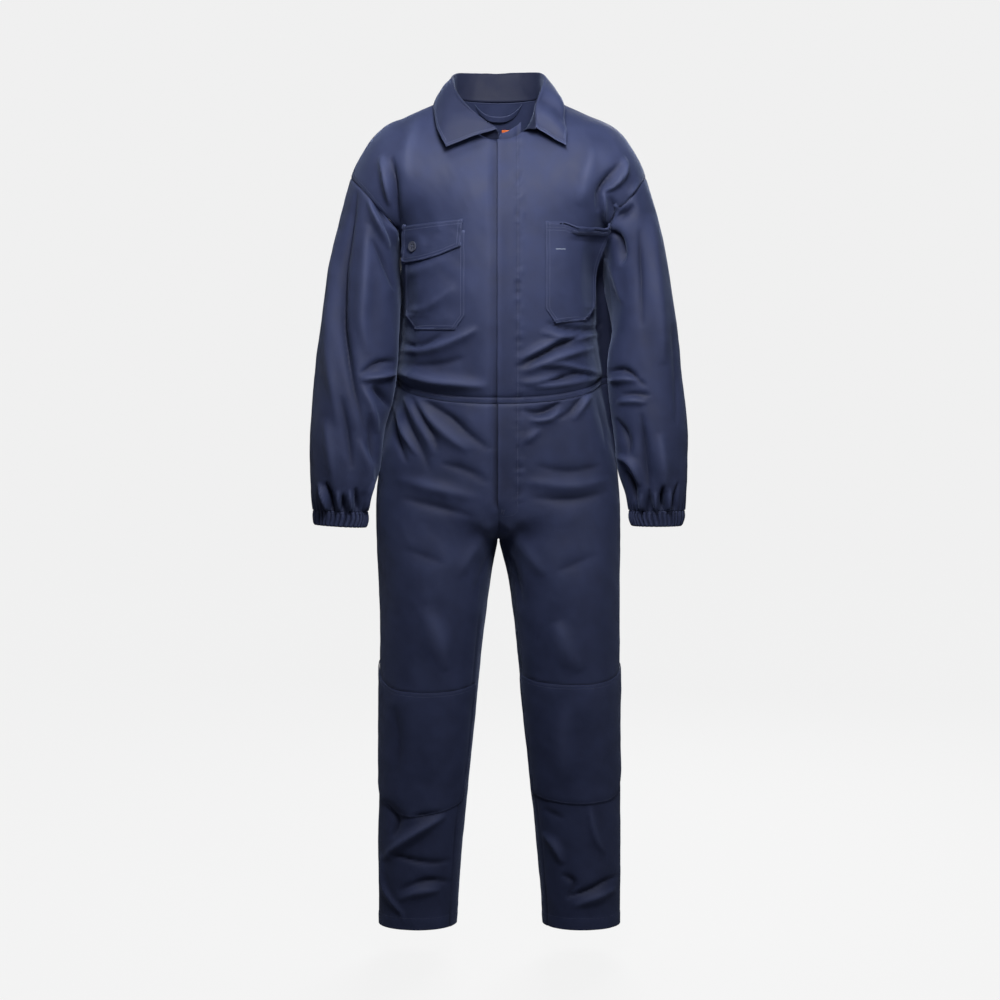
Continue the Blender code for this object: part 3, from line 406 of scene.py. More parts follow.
def upperPoint(share, rise, side, back):
    # blended between the four edges and rounded over the shoulder
    low = ringPoint(torso["underarm"], share, side, back)
    top = topPoint(share, side, back)
    centreLow = ringPoint(torso["underarm"], 0.0, side, back)
    centreTop = topPoint(np.array(0.0), side, back)
    bow = 0.01 * np.sin(math.pi * rise) if back else -0.004 * np.sin(math.pi * rise)
    steep = np.expand_dims(rise ** (1.6 if back else 1.2), -1)
    straight = np.expand_dims(rise, -1)
    centre = centreLow + (centreTop - centreLow) * np.concatenate([straight, steep, straight], -1)
    centre = centre + point(0 * bow, bow, 0 * bow)
    arm = armholePoint(rise, side, back)
    rounding = ease(share / 0.75)
    quarter = rise * math.pi / 2
    blend = point(rise, rise + (1 - np.cos(quarter) - rise) * rounding,
                  rise + (np.sin(quarter) - rise) * rounding)
    out = np.expand_dims(share, -1)
    armLow, armTop = armholePoint(0.0, side, back), armholePoint(1.0, side, back)
    surface = (1 - blend) * low + blend * top
    surface = surface + (1 - out) * (centre - ((1 - blend) * centreLow + blend * centreTop))
    return surface + out * (arm - ((1 - blend) * armLow + blend * armTop))


def waistZ(share, back):
    dip = torso["waistBackDip"] if back else torso["waistFrontDip"]
    return torso["waistSide"] - dip * np.cos(share * math.pi / 2) ** 1.2


def torsoPoint(share, rise, side, back):
    # rise 0 to 1 is waist to underarm, 1 to 2 is underarm to the top edge
    share, rise = np.broadcast_arrays(np.asarray(share, float), np.asarray(rise, float))
    seam = waistZ(share, back)
    z = seam + (torso["underarm"] - seam) * np.clip(rise, 0, 1)
    lower = ringPoint(z, share, side, back)
    upper = upperPoint(share, np.clip(rise - 1, 0, 1), side, back)
    return np.where(np.expand_dims(rise <= 1, -1), lower, upper)


def legPoint(share, level, side, back):
    share, level = np.broadcast_arrays(np.asarray(share, float), np.asarray(level, float))
    fade = ease((level - torso["splitTop"]) / (torso["waistSide"] - torso["splitTop"]))
    z = level + (waistZ(share, back) - torso["waistSide"]) * fade
    name = "back" if back else "front"
    whole = z > torso["crotch"]
    deep = np.where(whole, lookUp(torsoColumns, torsoRows, name, z), lookUp(legColumns, legRows, name, z))
    outer = np.where(whole, lookUp(torsoColumns, torsoRows, side, z), lookUp(legColumns, legRows, "outer", z))
    inner = lookUp(legColumns, legRows, "inner", z)
    split = np.clip((torso["splitTop"] - z) / (torso["splitTop"] - torso["crotch"]), 0, 1) ** 2.0
    radius = np.where(whole, outer / (1 + split), (outer - inner) / 2)
    middle = np.where(whole, split * radius, (outer + inner) / 2)
    power = torso["square"] + 0.08 * ease((torso["splitTop"] - z) / 0.25)
    start = -np.arcsin(np.clip(split ** (1 / power), 0, 1))
    turn = start + (math.pi / 2 - start) * share
    sign = 1 if side == "left" else -1
    wider, behind = flared(share, z, side)
    middle = middle + legLean[side] * ease((torso["crotch"] - z) / legLean["over"])
    x = middle + radius * np.sign(np.sin(turn)) * np.abs(np.sin(turn)) ** power + wider
    return point(sign * x, deep * np.abs(np.cos(turn)) ** power * (1 if back else -1) + behind, z)


def tubePoint(rows, share, turn, sign):
    # turn -90 degrees is the inner side, 90 the outer side, 0 the front and 180 the back
    share, turn = np.broadcast_arrays(np.asarray(share, float), np.asarray(turn, float))
    value = {name: lookUp(sleeveColumns, rows, name, share) for name in sleeveColumns[1:]}
    midX, midZ = (value["outerX"] + value["innerX"]) / 2, (value["outerZ"] + value["innerZ"]) / 2
    halfX, halfZ = (value["outerX"] - value["innerX"]) / 2, (value["outerZ"] - value["innerZ"]) / 2
    x = midX + halfX * np.sin(turn)
    return point(sign * x, value["midY"] - value["deep"] * np.cos(turn), midZ + halfZ * np.sin(turn))


def lapped(surface, rows, side):
    # a front starts past the centre line by the width of its lap, so shares below 0 are mirrored
    shares = np.linspace(0, 0.6, 121)
    lap = fly["edge"] if side == "left" else fly["under"]
    starts = np.array([np.interp(lap, np.abs(surface(shares, row)[:, 0]), shares) for row in rows])
    return starts


def frontSurface(surface, columns, rows, side, openShare):
    starts = lapped(surface, rows, side) * openShare
    share = -starts[:, None] + (1 + starts[:, None]) * columns[None, :]
    grid = surface(np.abs(share), rows[:, None] + 0 * share)
    return grid * point(np.where(share < 0, -1, 1), 1, 1)


# ---- grid helpers
def spread(count, near=(0.0, 1.0), fine=(0.004, 0.01)):
    # even steps with a few close ones beside each border
    steps = np.linspace(0, 1, count)
    extra = [abs(border - f) for border in near for f in fine]
    return np.unique(np.round(np.concatenate([steps, extra]), 6))


def gridNormals(grid, closed=False):
    if closed:
        across = np.roll(grid, -1, axis=1) - np.roll(grid, 1, axis=1)
    else:
        across = np.gradient(grid, axis=1)
    return unit(np.cross(across, np.gradient(grid, axis=0)))


def evened(grid, mask, axis, times):
    # takes the kinks out of a form where the mask says so
    moved = grid.swapaxes(0, axis).copy()
    weight = mask.swapaxes(0, axis)[1:-1, :, None] * 0.5
    for _ in range(times):
        moved[1:-1] += weight * ((moved[:-2] + moved[2:]) / 2 - moved[1:-1])
    return moved.swapaxes(0, axis)


def facedOut(grid, middle, closed=False):
    normals = gridNormals(grid, closed)
    return normals if np.median(np.sum((grid - middle) * normals, axis=-1)) > 0 else -normals


def facedAs(normals, grid, closed=False):
    # directions of a changed grid, on the same side as before
    found = gridNormals(grid, closed)
    return found * np.sign(np.median(np.sum(found * normals, axis=-1)))


def upright(grid):
    # middle of each row, on the X-Z plane
    return grid.mean(axis=1, keepdims=True) * (1, 0, 1)


def softNoise(u, v, seed, octaves=2):
    # smooth random field over two coordinates counted in cells
    total, size = 0.0, 1.0
    for k in range(octaves):
        table = np.random.default_rng(seed + k).uniform(-1, 1, (64, 64))
        a, b = np.floor(u).astype(int), np.floor(v).astype(int)
        s, t = ease(u - a), ease(v - b)
        corners = [table[(a + i) % 64, (b + j) % 64] for i in (0, 1) for j in (0, 1)]
        mixed = (corners[0] * (1 - t) + corners[1] * t) * (1 - s) + (corners[2] * (1 - t) + corners[3] * t) * s
        total = total + mixed * size
        u, v, size = u * 2.03, v * 2.03, size * 0.5
    return total


def curveThrough(places, steps):
    # rounded run through places along the first axis
    padded = np.concatenate([2 * places[:1] - places[1:2], places, 2 * places[-1:] - places[-2:-1]])
    run = []
    for k in range(1, len(padded) - 2):
        a, b, c, d = padded[k - 1:k + 3]
        for t in np.arange(steps) / steps:
            run.append(0.5 * (2 * b + (c - a) * t + (2 * a - 5 * b + 4 * c - d) * t * t
                              + (3 * b - a - 3 * c + d) * t ** 3))
    return np.array(run + [places[-1]])


def smoothRun(places, steps=7):
    places = np.array(places, float)
    if len(places) == 2:
        return places[0] + (places[1] - places[0]) * np.linspace(0, 1, steps)[:, None]
    return curveThrough(places, steps)


def foldHeight(folds, x, z):
    total = np.zeros(x.shape)
    for number, fold in enumerate(folds):
        wide, high = fold[0] / 1000, fold[1] / 1000
        run = smoothRun(np.reshape(fold[2:], (-1, 2)) / 1000)
        low, top = run.min(axis=0) - wide * 3, run.max(axis=0) + wide * 3
        near = (x > low[0]) & (x < top[0]) & (z > low[1]) & (z < top[1])
        if not near.any():
            continue
        px, pz = x[near], z[near]
        lengths = runLengths(run)
        best, along = np.full(px.shape, 9.0), np.zeros(px.shape)
        for k in range(len(run) - 1):
            way = run[k + 1] - run[k]
            size = way @ way
            t = np.clip(((px - run[k][0]) * way[0] + (pz - run[k][1]) * way[1]) / size, 0, 1)
            away = np.hypot(px - run[k][0] - way[0] * t, pz - run[k][1] - way[1] * t)
            closer = away < best
            best = np.where(closer, away, best)
            along = np.where(closer, lengths[k] + t * math.sqrt(size), along)
        share = along / lengths[-1]
        swell = np.sin(np.clip(share, 0, 1) * math.pi) ** 0.75
        uneven = 1 + 0.32 * softNoise(along / 0.075 + number, 0 * along + number, 31, 1)
        width = wide * 0.86 * (0.7 + 0.45 * np.sin(share * math.pi))
        shape = np.exp(-((best / width) ** 1.8)) if high > 0 else np.exp(-((best / (width * 0.75)) ** 1.15))
        total[near] += 1.6 * high * swell * uneven * shape
    return total


def seenFromFront(grid):
    nearer = camera["away"] / (camera["away"] + grid[..., 1])
    return grid[..., 0] * nearer, (grid[..., 2] - camera["height"]) * nearer + camera["height"]


def creased(grid, normals, arms):
    # heights of the folds in front and behind, each on the cloth that faces its way
    x, z = seenFromFront(grid)
    ahead = ease(-normals[..., 1] * 1.6 + 0.15)
    behind = ease(normals[..., 1] * 1.6 + 0.15)
    front, rear = (armFolds, backArmFolds) if arms else (bodyFolds, backFolds)
    high = foldHeight(front, x, z) * ahead * foldGain["arms" if arms else "body"]
    high += foldHeight(rear, grid[..., 0], grid[..., 2]) * behind
    if arms:
        high += foldHeight(armholeFolds, x, z) * ahead
    # slow unevenness of worn cloth, drawn out along the piece
    high += 0.0011 * softNoise(grid[..., 0] / 0.05 + 7, grid[..., 2] / 0.11 + grid[..., 1] / 0.05, 11)
    high += 0.0004 * softNoise(grid[..., 0] / 0.018 + grid[..., 2] / 0.04, grid[..., 2] / 0.03 + 20, 23)
    return high


# ---- materials
clothLook = {
    "dark": (0.013, 0.0185, 0.054, 1), "light": (0.0215, 0.0295, 0.08, 1), "worn": (0.05, 0.064, 0.15, 1),
    # deep and inner: colour and strength of the painted shade; edge: colour of the paler borders and the painted
    # ridge highlight
    "deep": (0.004, 0.006, 0.0215, 1), "edge": (0.085, 0.105, 0.215, 1), "inner": 0.84,
    "twillScale": 560.0, "roughness": (0.6, 0.74), "sheen": 0.2, "sheenRough": 0.4,
}


def shaderOf(name):
    made = bpy.data.materials.new(name)
    made.use_nodes = True
    return made, made.node_tree.nodes, made.node_tree.links, made.node_tree.nodes["Principled BSDF"]


def setSockets(node, values):
    for key, value in values.items():
        node.inputs[key].default_value = value


def noiseNode(nodes, links, vector, scale, detail=3.0):
    node = nodes.new("ShaderNodeTexNoise")
    setSockets(node, {"Scale": scale, "Detail": detail})
    links.new(vector, node.inputs["Vector"])
    return node.outputs["Fac"]


def rampNode(nodes, links, fac, low, high, first, second):
    node = nodes.new("ShaderNodeMapRange")
    links.new(fac, node.inputs["Value"])
    setSockets(node, {"From Min": low, "From Max": high, "To Min": first, "To Max": second})
    return node.outputs["Result"]


def mixColours(nodes, links, fac, first, second):
    node = nodes.new("ShaderNodeMix")
    node.data_type = "RGBA"
    links.new(fac, node.inputs["Factor"])
    for socket, colour in ((node.inputs[6], first), (node.inputs[7], second)):
        if isinstance(colour, tuple):
            socket.default_value = colour
        else:
            links.new(colour, socket)
    return node.outputs[2]


def bumpNode(nodes, links, height, strength, distance):
    node = nodes.new("ShaderNodeBump")
    setSockets(node, {"Strength": strength, "Distance": distance})
    links.new(height, node.inputs["Height"])
    return node


def storedValue(nodes, name):
    node = nodes.new("ShaderNodeAttribute")
    node.attribute_name = name
    return node.outputs["Fac"]


def twillMaterial(name, look):
    made, nodes, links, shader = shaderOf(name)
    place = nodes.new("ShaderNodeTexCoord")
    paleBorderAndRidgeHighlight, inner = storedValue(nodes, "paleBorderAndRidgeHighlight"), storedValue(nodes, "inner")
    wave = nodes.new("ShaderNodeTexWave")
    wave.bands_direction = "DIAGONAL"
    setSockets(wave, {"Scale": look["twillScale"], "Distortion": 0.6, "Detail": 1.0})
    links.new(place.outputs["UV"], wave.inputs["Vector"])
    mottle = noiseNode(nodes, links, place.outputs["Object"], 26.0, 4.0)
    slub = noiseNode(nodes, links, place.outputs["UV"], 900.0, 2.0)
    base = mixColours(nodes, links, rampNode(nodes, links, mottle, 0.3, 0.7, 0.0, 1.0), look["dark"], look["light"])
    grain = mixColours(nodes, links, rampNode(nodes, links, slub, 0.35, 0.75, 0.0, 0.35), base, look["worn"])
    ribs = mixColours(nodes, links, rampNode(nodes, links, wave.outputs["Fac"], 0.2, 0.9, 0.0, 0.16),
                      grain, look["worn"])
    # paler towards the borders, with a painted highlight on the ridges
    withBorderAndRidgeHighlight = mixColours(nodes, links, rampNode(nodes, links, paleBorderAndRidgeHighlight, 0.03, 1.0, 0.0, 0.8),
                       ribs, look["edge"])
    # painted shade from the inner attribute: hollows, creases and shaded strips mixed towards the deep colour
    links.new(mixColours(nodes, links, rampNode(nodes, links, inner, 0.0, 1.0, 0.0, look["inner"]),
                         withBorderAndRidgeHighlight, look["deep"]), shader.inputs["Base Color"])
    links.new(rampNode(nodes, links, mottle, 0.3, 0.7, *look["roughness"]), shader.inputs["Roughness"])
    setSockets(shader, {"Sheen Weight": look["sheen"], "Sheen Roughness": look["sheenRough"],
                        "Sheen Tint": (0.5, 0.62, 1.0, 1), "Specular IOR Level": 0.3})
    weave = bumpNode(nodes, links, wave.outputs["Fac"], 0.5, 0.00012)
    slubs = bumpNode(nodes, links, noiseNode(nodes, links, place.outputs["Object"], 330.0, 3.0), 0.35, 0.0004)
    links.new(weave.outputs["Normal"], slubs.inputs["Normal"])
    links.new(slubs.outputs["Normal"], shader.inputs["Normal"])
    return made


def plainMaterial(name, first, second, rough, scale, bump, spec=0.4):
    made, nodes, links, shader = shaderOf(name)
    place = nodes.new("ShaderNodeTexCoord")
    fac = noiseNode(nodes, links, place.outputs["Object"], scale, 3.0)
    links.new(mixColours(nodes, links, rampNode(nodes, links, fac, 0.3, 0.7, 0.0, 1.0), first, second),
              shader.inputs["Base Color"])
    links.new(rampNode(nodes, links, fac, 0.3, 0.7, rough - 0.05, rough + 0.05), shader.inputs["Roughness"])
    shader.inputs["Specular IOR Level"].default_value = spec
    links.new(bumpNode(nodes, links, fac, 0.4, bump).outputs["Normal"], shader.inputs["Normal"])
    return made


navyTwill = twillMaterial("navyTwill", clothLook)
navyThread = plainMaterial("navyThread", (0.032, 0.04, 0.09, 1), (0.052, 0.064, 0.13, 1), 0.55, 1500.0, 0.0001)
fadedThread = plainMaterial("fadedThread", (0.062, 0.076, 0.15, 1), (0.105, 0.125, 0.225, 1), 0.55, 1500.0, 0.0001)
paleThread = plainMaterial("paleThread", (0.14, 0.17, 0.25, 1), (0.24, 0.28, 0.37, 1), 0.5, 1500.0, 0.0001)
orangeWoven = plainMaterial("orangeWoven", (0.6, 0.11, 0.02, 1), (0.8, 0.18, 0.03, 1), 0.7, 1200.0, 0.0002)
buttonPlastic = plainMaterial(
    "buttonPlastic", (0.05, 0.056, 0.085, 1), (0.085, 0.092, 0.13, 1), 0.3, 300.0, 0.00003, 0.55)


# ---- sheets
sheets = {}


def keep(name, grid, normals):
    sheets[name] = {"grid": grid, "normals": normals}


def placed(name, data):
    made = bpy.data.objects.new(name, data)
    bpy.context.collection.objects.link(made)
    return made


def hollows(grid, normals, closed):
    # how far each place lies below the cloth around it
    smooth = grid
    for _ in range(36):
        for axis in (0, 1):
            mean = smooth / 2 + (np.roll(smooth, 1, axis) + np.roll(smooth, -1, axis)) / 4
            if axis == 0 or not closed:
                mean.swapaxes(0, axis)[[0, -1]] = smooth.swapaxes(0, axis)[[0, -1]]
            smooth = mean
    depth = ((smooth - grid) * normals).sum(axis=-1)
    return depth - np.median(depth)


def makeSheet(name, grid, normals, thick, material=navyTwill, closed=False, offset=-1.0, deep=0.0034, worn=0.15):
    rows, columns = grid.shape[:2]
    last = columns if closed else columns - 1
    r, c = np.meshgrid(np.arange(rows - 1), np.arange(last), indexing="ij")
    corners = [(r, c), (r, c + 1), (r + 1, c + 1), (r + 1, c)]
    sample = gridNormals(grid, closed)
    if np.median(np.sum(sample * normals, axis=-1)) < 0:
        corners = corners[::-1]
    faces = np.stack([a * columns + b % columns for a, b in corners], axis=-1).reshape(-1, 4)
    mesh = bpy.data.meshes.new(name)
    mesh.from_pydata(grid.reshape(-1, 3).tolist(), [], faces.tolist())
    # cloth coordinates in metres along the middle row and column
    around = np.concatenate([grid, grid[:, :1]], axis=1) if closed else grid
    u = np.concatenate([[0], np.cumsum(lengthOf(np.diff(around, axis=1)).mean(axis=0))])
    v = np.concatenate([[0], np.cumsum(lengthOf(np.diff(grid, axis=0)).mean(axis=1))])
    uv = np.stack([np.stack([u[b], v[a]], axis=-1) for a, b in corners], axis=2).reshape(-1, 2)
    layer = mesh.uv_layers.new(name="cloth")
    layer.data.foreach_set("uv", uv.ravel())
    # how near each point is to a border of the piece
    borders = [v[:, None] + 0 * u[None, :columns], v[-1] - v[:, None] + 0 * u[None, :columns]]
    if not closed:
        borders += [0 * v[:, None] + u[None, :columns], 0 * v[:, None] + u[-1] - u[None, :columns]]
    nearest = np.min(borders, axis=0)
    # paler near the borders, with a painted highlight on ridges and painted shade in hollows
    depth = hollows(grid, normals, closed) / deep
    paleBorderAndRidgeHighlight = mesh.attributes.new("paleBorderAndRidgeHighlight", "FLOAT", "POINT")
    paleBorderAndRidgeHighlight.data.foreach_set("value", (worn * np.exp(-nearest / 0.0026) + 0.22 * np.clip(-depth, 0, 1.2)).ravel())
    # the inner attribute holds the painted shade
    inner = mesh.attributes.new("inner", "FLOAT", "POINT")
    inner.data.foreach_set("value", (0.5 * np.clip(depth, 0, 1.2)).ravel())
    mesh.materials.append(material)
    mesh.shade_smooth()
    made = placed(name, mesh)
    wall = made.modifiers.new("wall", "SOLIDIFY")
    wall.thickness, wall.offset = thick, offset
    keep(name, grid, normals)
    return made


def darken(made, values):
    # adds painted shade through the inner attribute
    layer = made.data.attributes["inner"].data
    found = np.zeros(len(layer))
    layer.foreach_get("value", found)
    layer.foreach_set("value", np.maximum(found, values.ravel()))


allBorders = ("start", "end", "first", "last")
narrowFold = (0.0006, 0.005)


def fromBorder(values, border):
    # the same grid with the named border as its first row
    values = values.swapaxes(0, 1) if border in ("first", "last") else values
    return values[::-1] if border in ("end", "last") else values


def asBefore(values, border):
    values = values[::-1] if border in ("end", "last") else values
    return values.swapaxes(0, 1) if border in ("first", "last") else values


def turnUnder(grid, normals, border, radius=0.0008, depth=0.006):
    # folds a free edge back behind itself
    g, n = fromBorder(grid, border), fromBorder(normals, border)
    edge, out = g[0], n[0]
    into = unit(g[2] - g[0])
    fold = [edge - out * 2 * radius + into * depth]
    for angle in (180, 135, 90, 45):
        turn = math.radians(angle)
        fold.append(edge - out * radius + radius * (out * math.cos(turn) - into * math.sin(turn)))
    g = np.concatenate([np.array(fold), g])
    n = np.concatenate([np.repeat(n[:1], len(fold), axis=0), n])
    return asBefore(g, border), asBefore(n, border)


def turnedUnder(grid, normals, borders, radius, depth):
    for border in borders:
        grid, normals = turnUnder(grid, normals, border, radius, depth)
    return grid, normals


def borderDistance(grid, border):
    g = fromBorder(grid, border)
    steps = lengthOf(np.diff(g, axis=0))
    return asBefore(np.concatenate([np.zeros((1, g.shape[1])), np.cumsum(steps, axis=0)]), border)


def closedUp(grid, low, top, over=0.0006):
    # brings the centre edge of a leg panel back to the centre line between two heights
    edge, away = grid[:, 0].copy(), lengthOf(grid - grid[:, :1])
    sign = np.sign(np.median(grid[..., 0]))
    reach = ease((edge[:, 2] - low) / 0.004) * ease((top - edge[:, 2]) / 0.004)
    moved = grid.copy()
    moved[..., 0] += ((-edge[:, 0] - sign * over) * reach)[:, None] * bell(away / 0.006)
    return moved


def dip(distance, deep=0.0012, wide=0.0024):
    return -deep * bell(distance / wide)


# ---- stitches, gathered in one list for each thread
threads = {"navy": ([], []), "faded": ([], []), "pale": ([], [])}


def sampled(at, steps, line):
    return np.stack([np.interp(at, steps, line[:, k]) for k in range(3)], axis=-1)


def sewAlong(line, out, thread="navy", pitch=0.0031, long=0.0023, wide=0.00042, high=0.00045):
    points, faces = threads[thread]
    steps = runLengths(line)
    count = max(int(steps[-1] / pitch), 1)
    at = (np.arange(count) + 0.5) * steps[-1] / count
    centre, up = sampled(at, steps, line), sampled(at, steps, out)
    way = unit(sampled(at + 0.0005, steps, line) - sampled(at - 0.0005, steps, line))
    side = unit(np.cross(way, up))
    up = np.cross(side, way)
    ring = [(1, 0), (0, 1), (-1, 0), (0, -1)]
    shape = [centre - way * long / 2 - up * high * 0.5]
    for t in (-0.3, 0.3):
        for a, b in ring:
            shape.append(centre + way * long * t + side * wide * a + up * high * b)
    shape.append(centre + way * long / 2 - up * high * 0.5)
    base = sum(len(block) for block in points)
    points.append(np.stack(shape, axis=1).reshape(-1, 3))
    for k in range(count):
        s = base + k * 10
        for a in range(4):
            b = (a + 1) % 4
            faces.append((s, s + 1 + b, s + 1 + a))
            faces.append((s + 1 + a, s + 1 + b, s + 5 + b, s + 5 + a))
            faces.append((s + 9, s + 5 + a, s + 5 + b))


def insetLine(sheet, border, inset, first=0.0, last=1.0):
    # run of places a distance in from one border of a sheet
    grid, normals = fromBorder(sheet["grid"], border), fromBorder(sheet["normals"], border)
    away = borderDistance(grid, "start")
    low = np.clip((away <= inset).sum(axis=0) - 1, 0, len(grid) - 2)
    c = np.arange(grid.shape[1])
    t = np.clip((inset - away[low, c]) / np.maximum(away[low + 1, c] - away[low, c], 1e-9), 0, 1)[:, None]
    line = grid[low, c] * (1 - t) + grid[low + 1, c] * t
    out = normals[low, c] * (1 - t) + normals[low + 1, c] * t
    begin, end = int(first * (len(line) - 1)), int(round(last * (len(line) - 1)))
    return line[begin:end + 1], out[begin:end + 1]


def sewBorder(name, border, insets, first=0.0, last=1.0):
    thread = "faded" if name.startswith(("pocket", "collar")) else "navy"
    for inset in insets:
        sewAlong(*insetLine(sheets[name], border, inset, first, last), thread)


# ---- torso and legs
panelCut = {
    "columns": 64, "backColumns": 52, "torsoBackColumns": 58, "fine": (0.003, 0.008, 0.015), "thick": 0.0007,
    "band": 0.01, "bandHigh": 0.0009, "seamDip": 0.001, "hem": 0.0215, "hemHigh": 0.0007,
    "hemTurn": 0.018,
}


def blouse(distance):
    # cloth falling over the waist seam
    return 0.005 * (distance / 0.022) * np.exp(1 - distance / 0.022) * (distance > 0)


def underArmShade(grid):
    # painted shade on the strip of the body that a sleeve always covers
    y, z = grid[..., 1], grid[..., 2]
    across = ease((y + 0.05) / 0.045) * (1 - ease((y - 0.045) / 0.03)) * (np.abs(grid[..., 0]) > 0.15)
    return across * ease((z + 0.6) / 0.12) * (1 - ease((z + 0.262) / 0.02))


def torsoForm(grid, shares):
    low = bell((torsoRises[:, None] - 1) / 0.16) * ease((1.0 - shares[None, :]) / 0.06)
    grid = evened(grid, low, 0, 120)
    kink = bell((shares[None, :] - neck["share"]) / 0.14) * ease((2 - torsoRises[:, None]) / 0.12)
    return evened(grid, kink * ease((torsoRises[:, None] - 0.9) / 0.3), 1, 60)


def legForm(grid, shares):
    near = bell((legLevels[:, None] - torso["crotch"]) / 0.05)
    return evened(grid, near * ease((shares[None, :] - 0.06) / 0.22), 0, 120)


def torsoHeights(grid, normals, band):
    high = creased(grid, normals, False)
    away = borderDistance(grid, "start")
    calm = ease(away / 0.012)
    high = high * calm + blouse(np.maximum(away - band, 0))
    high += panelCut["bandHigh"] * ease(away / 0.0012) * (1 - ease((away - band) / 0.0014))
    high += dip(away) + dip(away - band - 0.0018, 0.001, 0.0016)
    return high


def flyRelief(grid, side):
    x, z = grid[..., 0], grid[..., 2]
    low = ease((z - fly["end"]) / 0.03)
    if side == "right":
        return -fly["step"] * ease((x + 0.02) / 0.016) * low
    pucker = softNoise(z / 0.013, 0 * z + 3, 41) + 0.4 * softNoise(z / 0.006, 0 * z + 5, 43)
    line = (x - fly["stitch"]) / 0.0035
    high = (-0.0011 + 0.0019 * pucker) * bell(line)
    beside = bell((x - fly["stitch"] - 0.006) / 0.005)
    high += 0.0021 * np.abs(softNoise(z / 0.017 + 9, 0 * z + 1, 47)) * beside
    high += fly["lift"] * bell(x / 0.012)
    return high * low


def besideFly(grid):
    # the strip that the fly edge keeps in shade
    x, z = grid[..., 0], grid[..., 2]
    reach = 0.0032 + 0.005 * ease((-0.45 - z) / 0.15)
    return 1.15 * bell(np.minimum(x - fly["edge"], 0) / reach) * ease((z - fly["end"] - 0.004) / 0.02)


kneeCut = {
    "out": 0.0017, "columns": 52, "rows": 56, "lastColumn": 0.975, "firstColumn": 0.14, "thick": 0.0005,
    "felledRows": slice(94, -8),
    "right": {"top": ((0, -1.103), (0.2, -1.11), (0.5, -1.113), (0.75, -1.105), (0.9, -1.086), (1, -1.064)),
              "bottom": ((0, -1.33), (0.2, -1.342), (0.45, -1.352), (0.65, -1.345), (0.85, -1.322), (1, -1.3)),
              "fell": ((-1.6, 0.2), (-1.45, 0.21), (-1.34, 0.205), (-1.27, 0.165), (-1.2, 0.15), (-1.08, 0.165))},
    "left": {"top": ((0, -1.086), (0.2, -1.094), (0.45, -1.098), (0.7, -1.095), (0.88, -1.084), (1, -1.069)),
             "bottom": ((0, -1.314), (0.2, -1.322), (0.6, -1.325), (0.78, -1.317), (0.9, -1.294), (1, -1.262)),
             "fell": ((-1.6, 0.17), (-1.45, 0.165), (-1.34, 0.15), (-1.27, 0.125), (-1.2, 0.11), (-1.08, 0.105))},
}

waistRows = np.array([0, 0.8, 2.0, 4.0, 6.5, 8.8, 10.0, 11.2, 12.6, 14.5]) * 0.0034
torsoRises = np.unique(np.concatenate([
    waistRows, np.linspace(0.062, 1, 70), np.linspace(1, 2, 74)[1:], [1.985, 1.994]]))
legLevels = np.concatenate([torso["waistSide"] - np.array([0, 0.8, 2.0, 3.5]) / 1000,
                            np.linspace(-0.5395, -1.5605, 250), [-1.5635, -1.5665, -1.569, -1.5705]])

def legPanel(name, grid, columns, extra, top):
    # one leg panel with the heights that it has beside its folds, seams and hem
    grid = legForm(grid, columns)
    normals = facedOut(grid, upright(grid))
    away, hemAway = borderDistance(grid, "start"), borderDistance(grid, "end")
    high = creased(grid, normals, False) * ease(away / 0.008) - 0.0009 * (1 - ease(away / 0.004))
    high += dip(borderDistance(grid, "last"), panelCut["seamDip"]) + extra(grid)
    high += panelCut["hemHigh"] * (1 - ease((hemAway - panelCut["hem"]) / 0.0015))
    high += dip(hemAway - panelCut["hem"] - 0.0025, 0.0006, 0.0016)
    grid = closedUp(grid + normals * high[..., None], torso["crotch"] - 0.001, top)
    facing = facedAs(normals, grid)
    keep(name, grid, facing)
    outline, turned = turnUnder(grid, facing, "end", depth=panelCut["hemTurn"])
    return grid, makeSheet(name + "_cloth", outline, turned, panelCut["thick"]), len(outline)


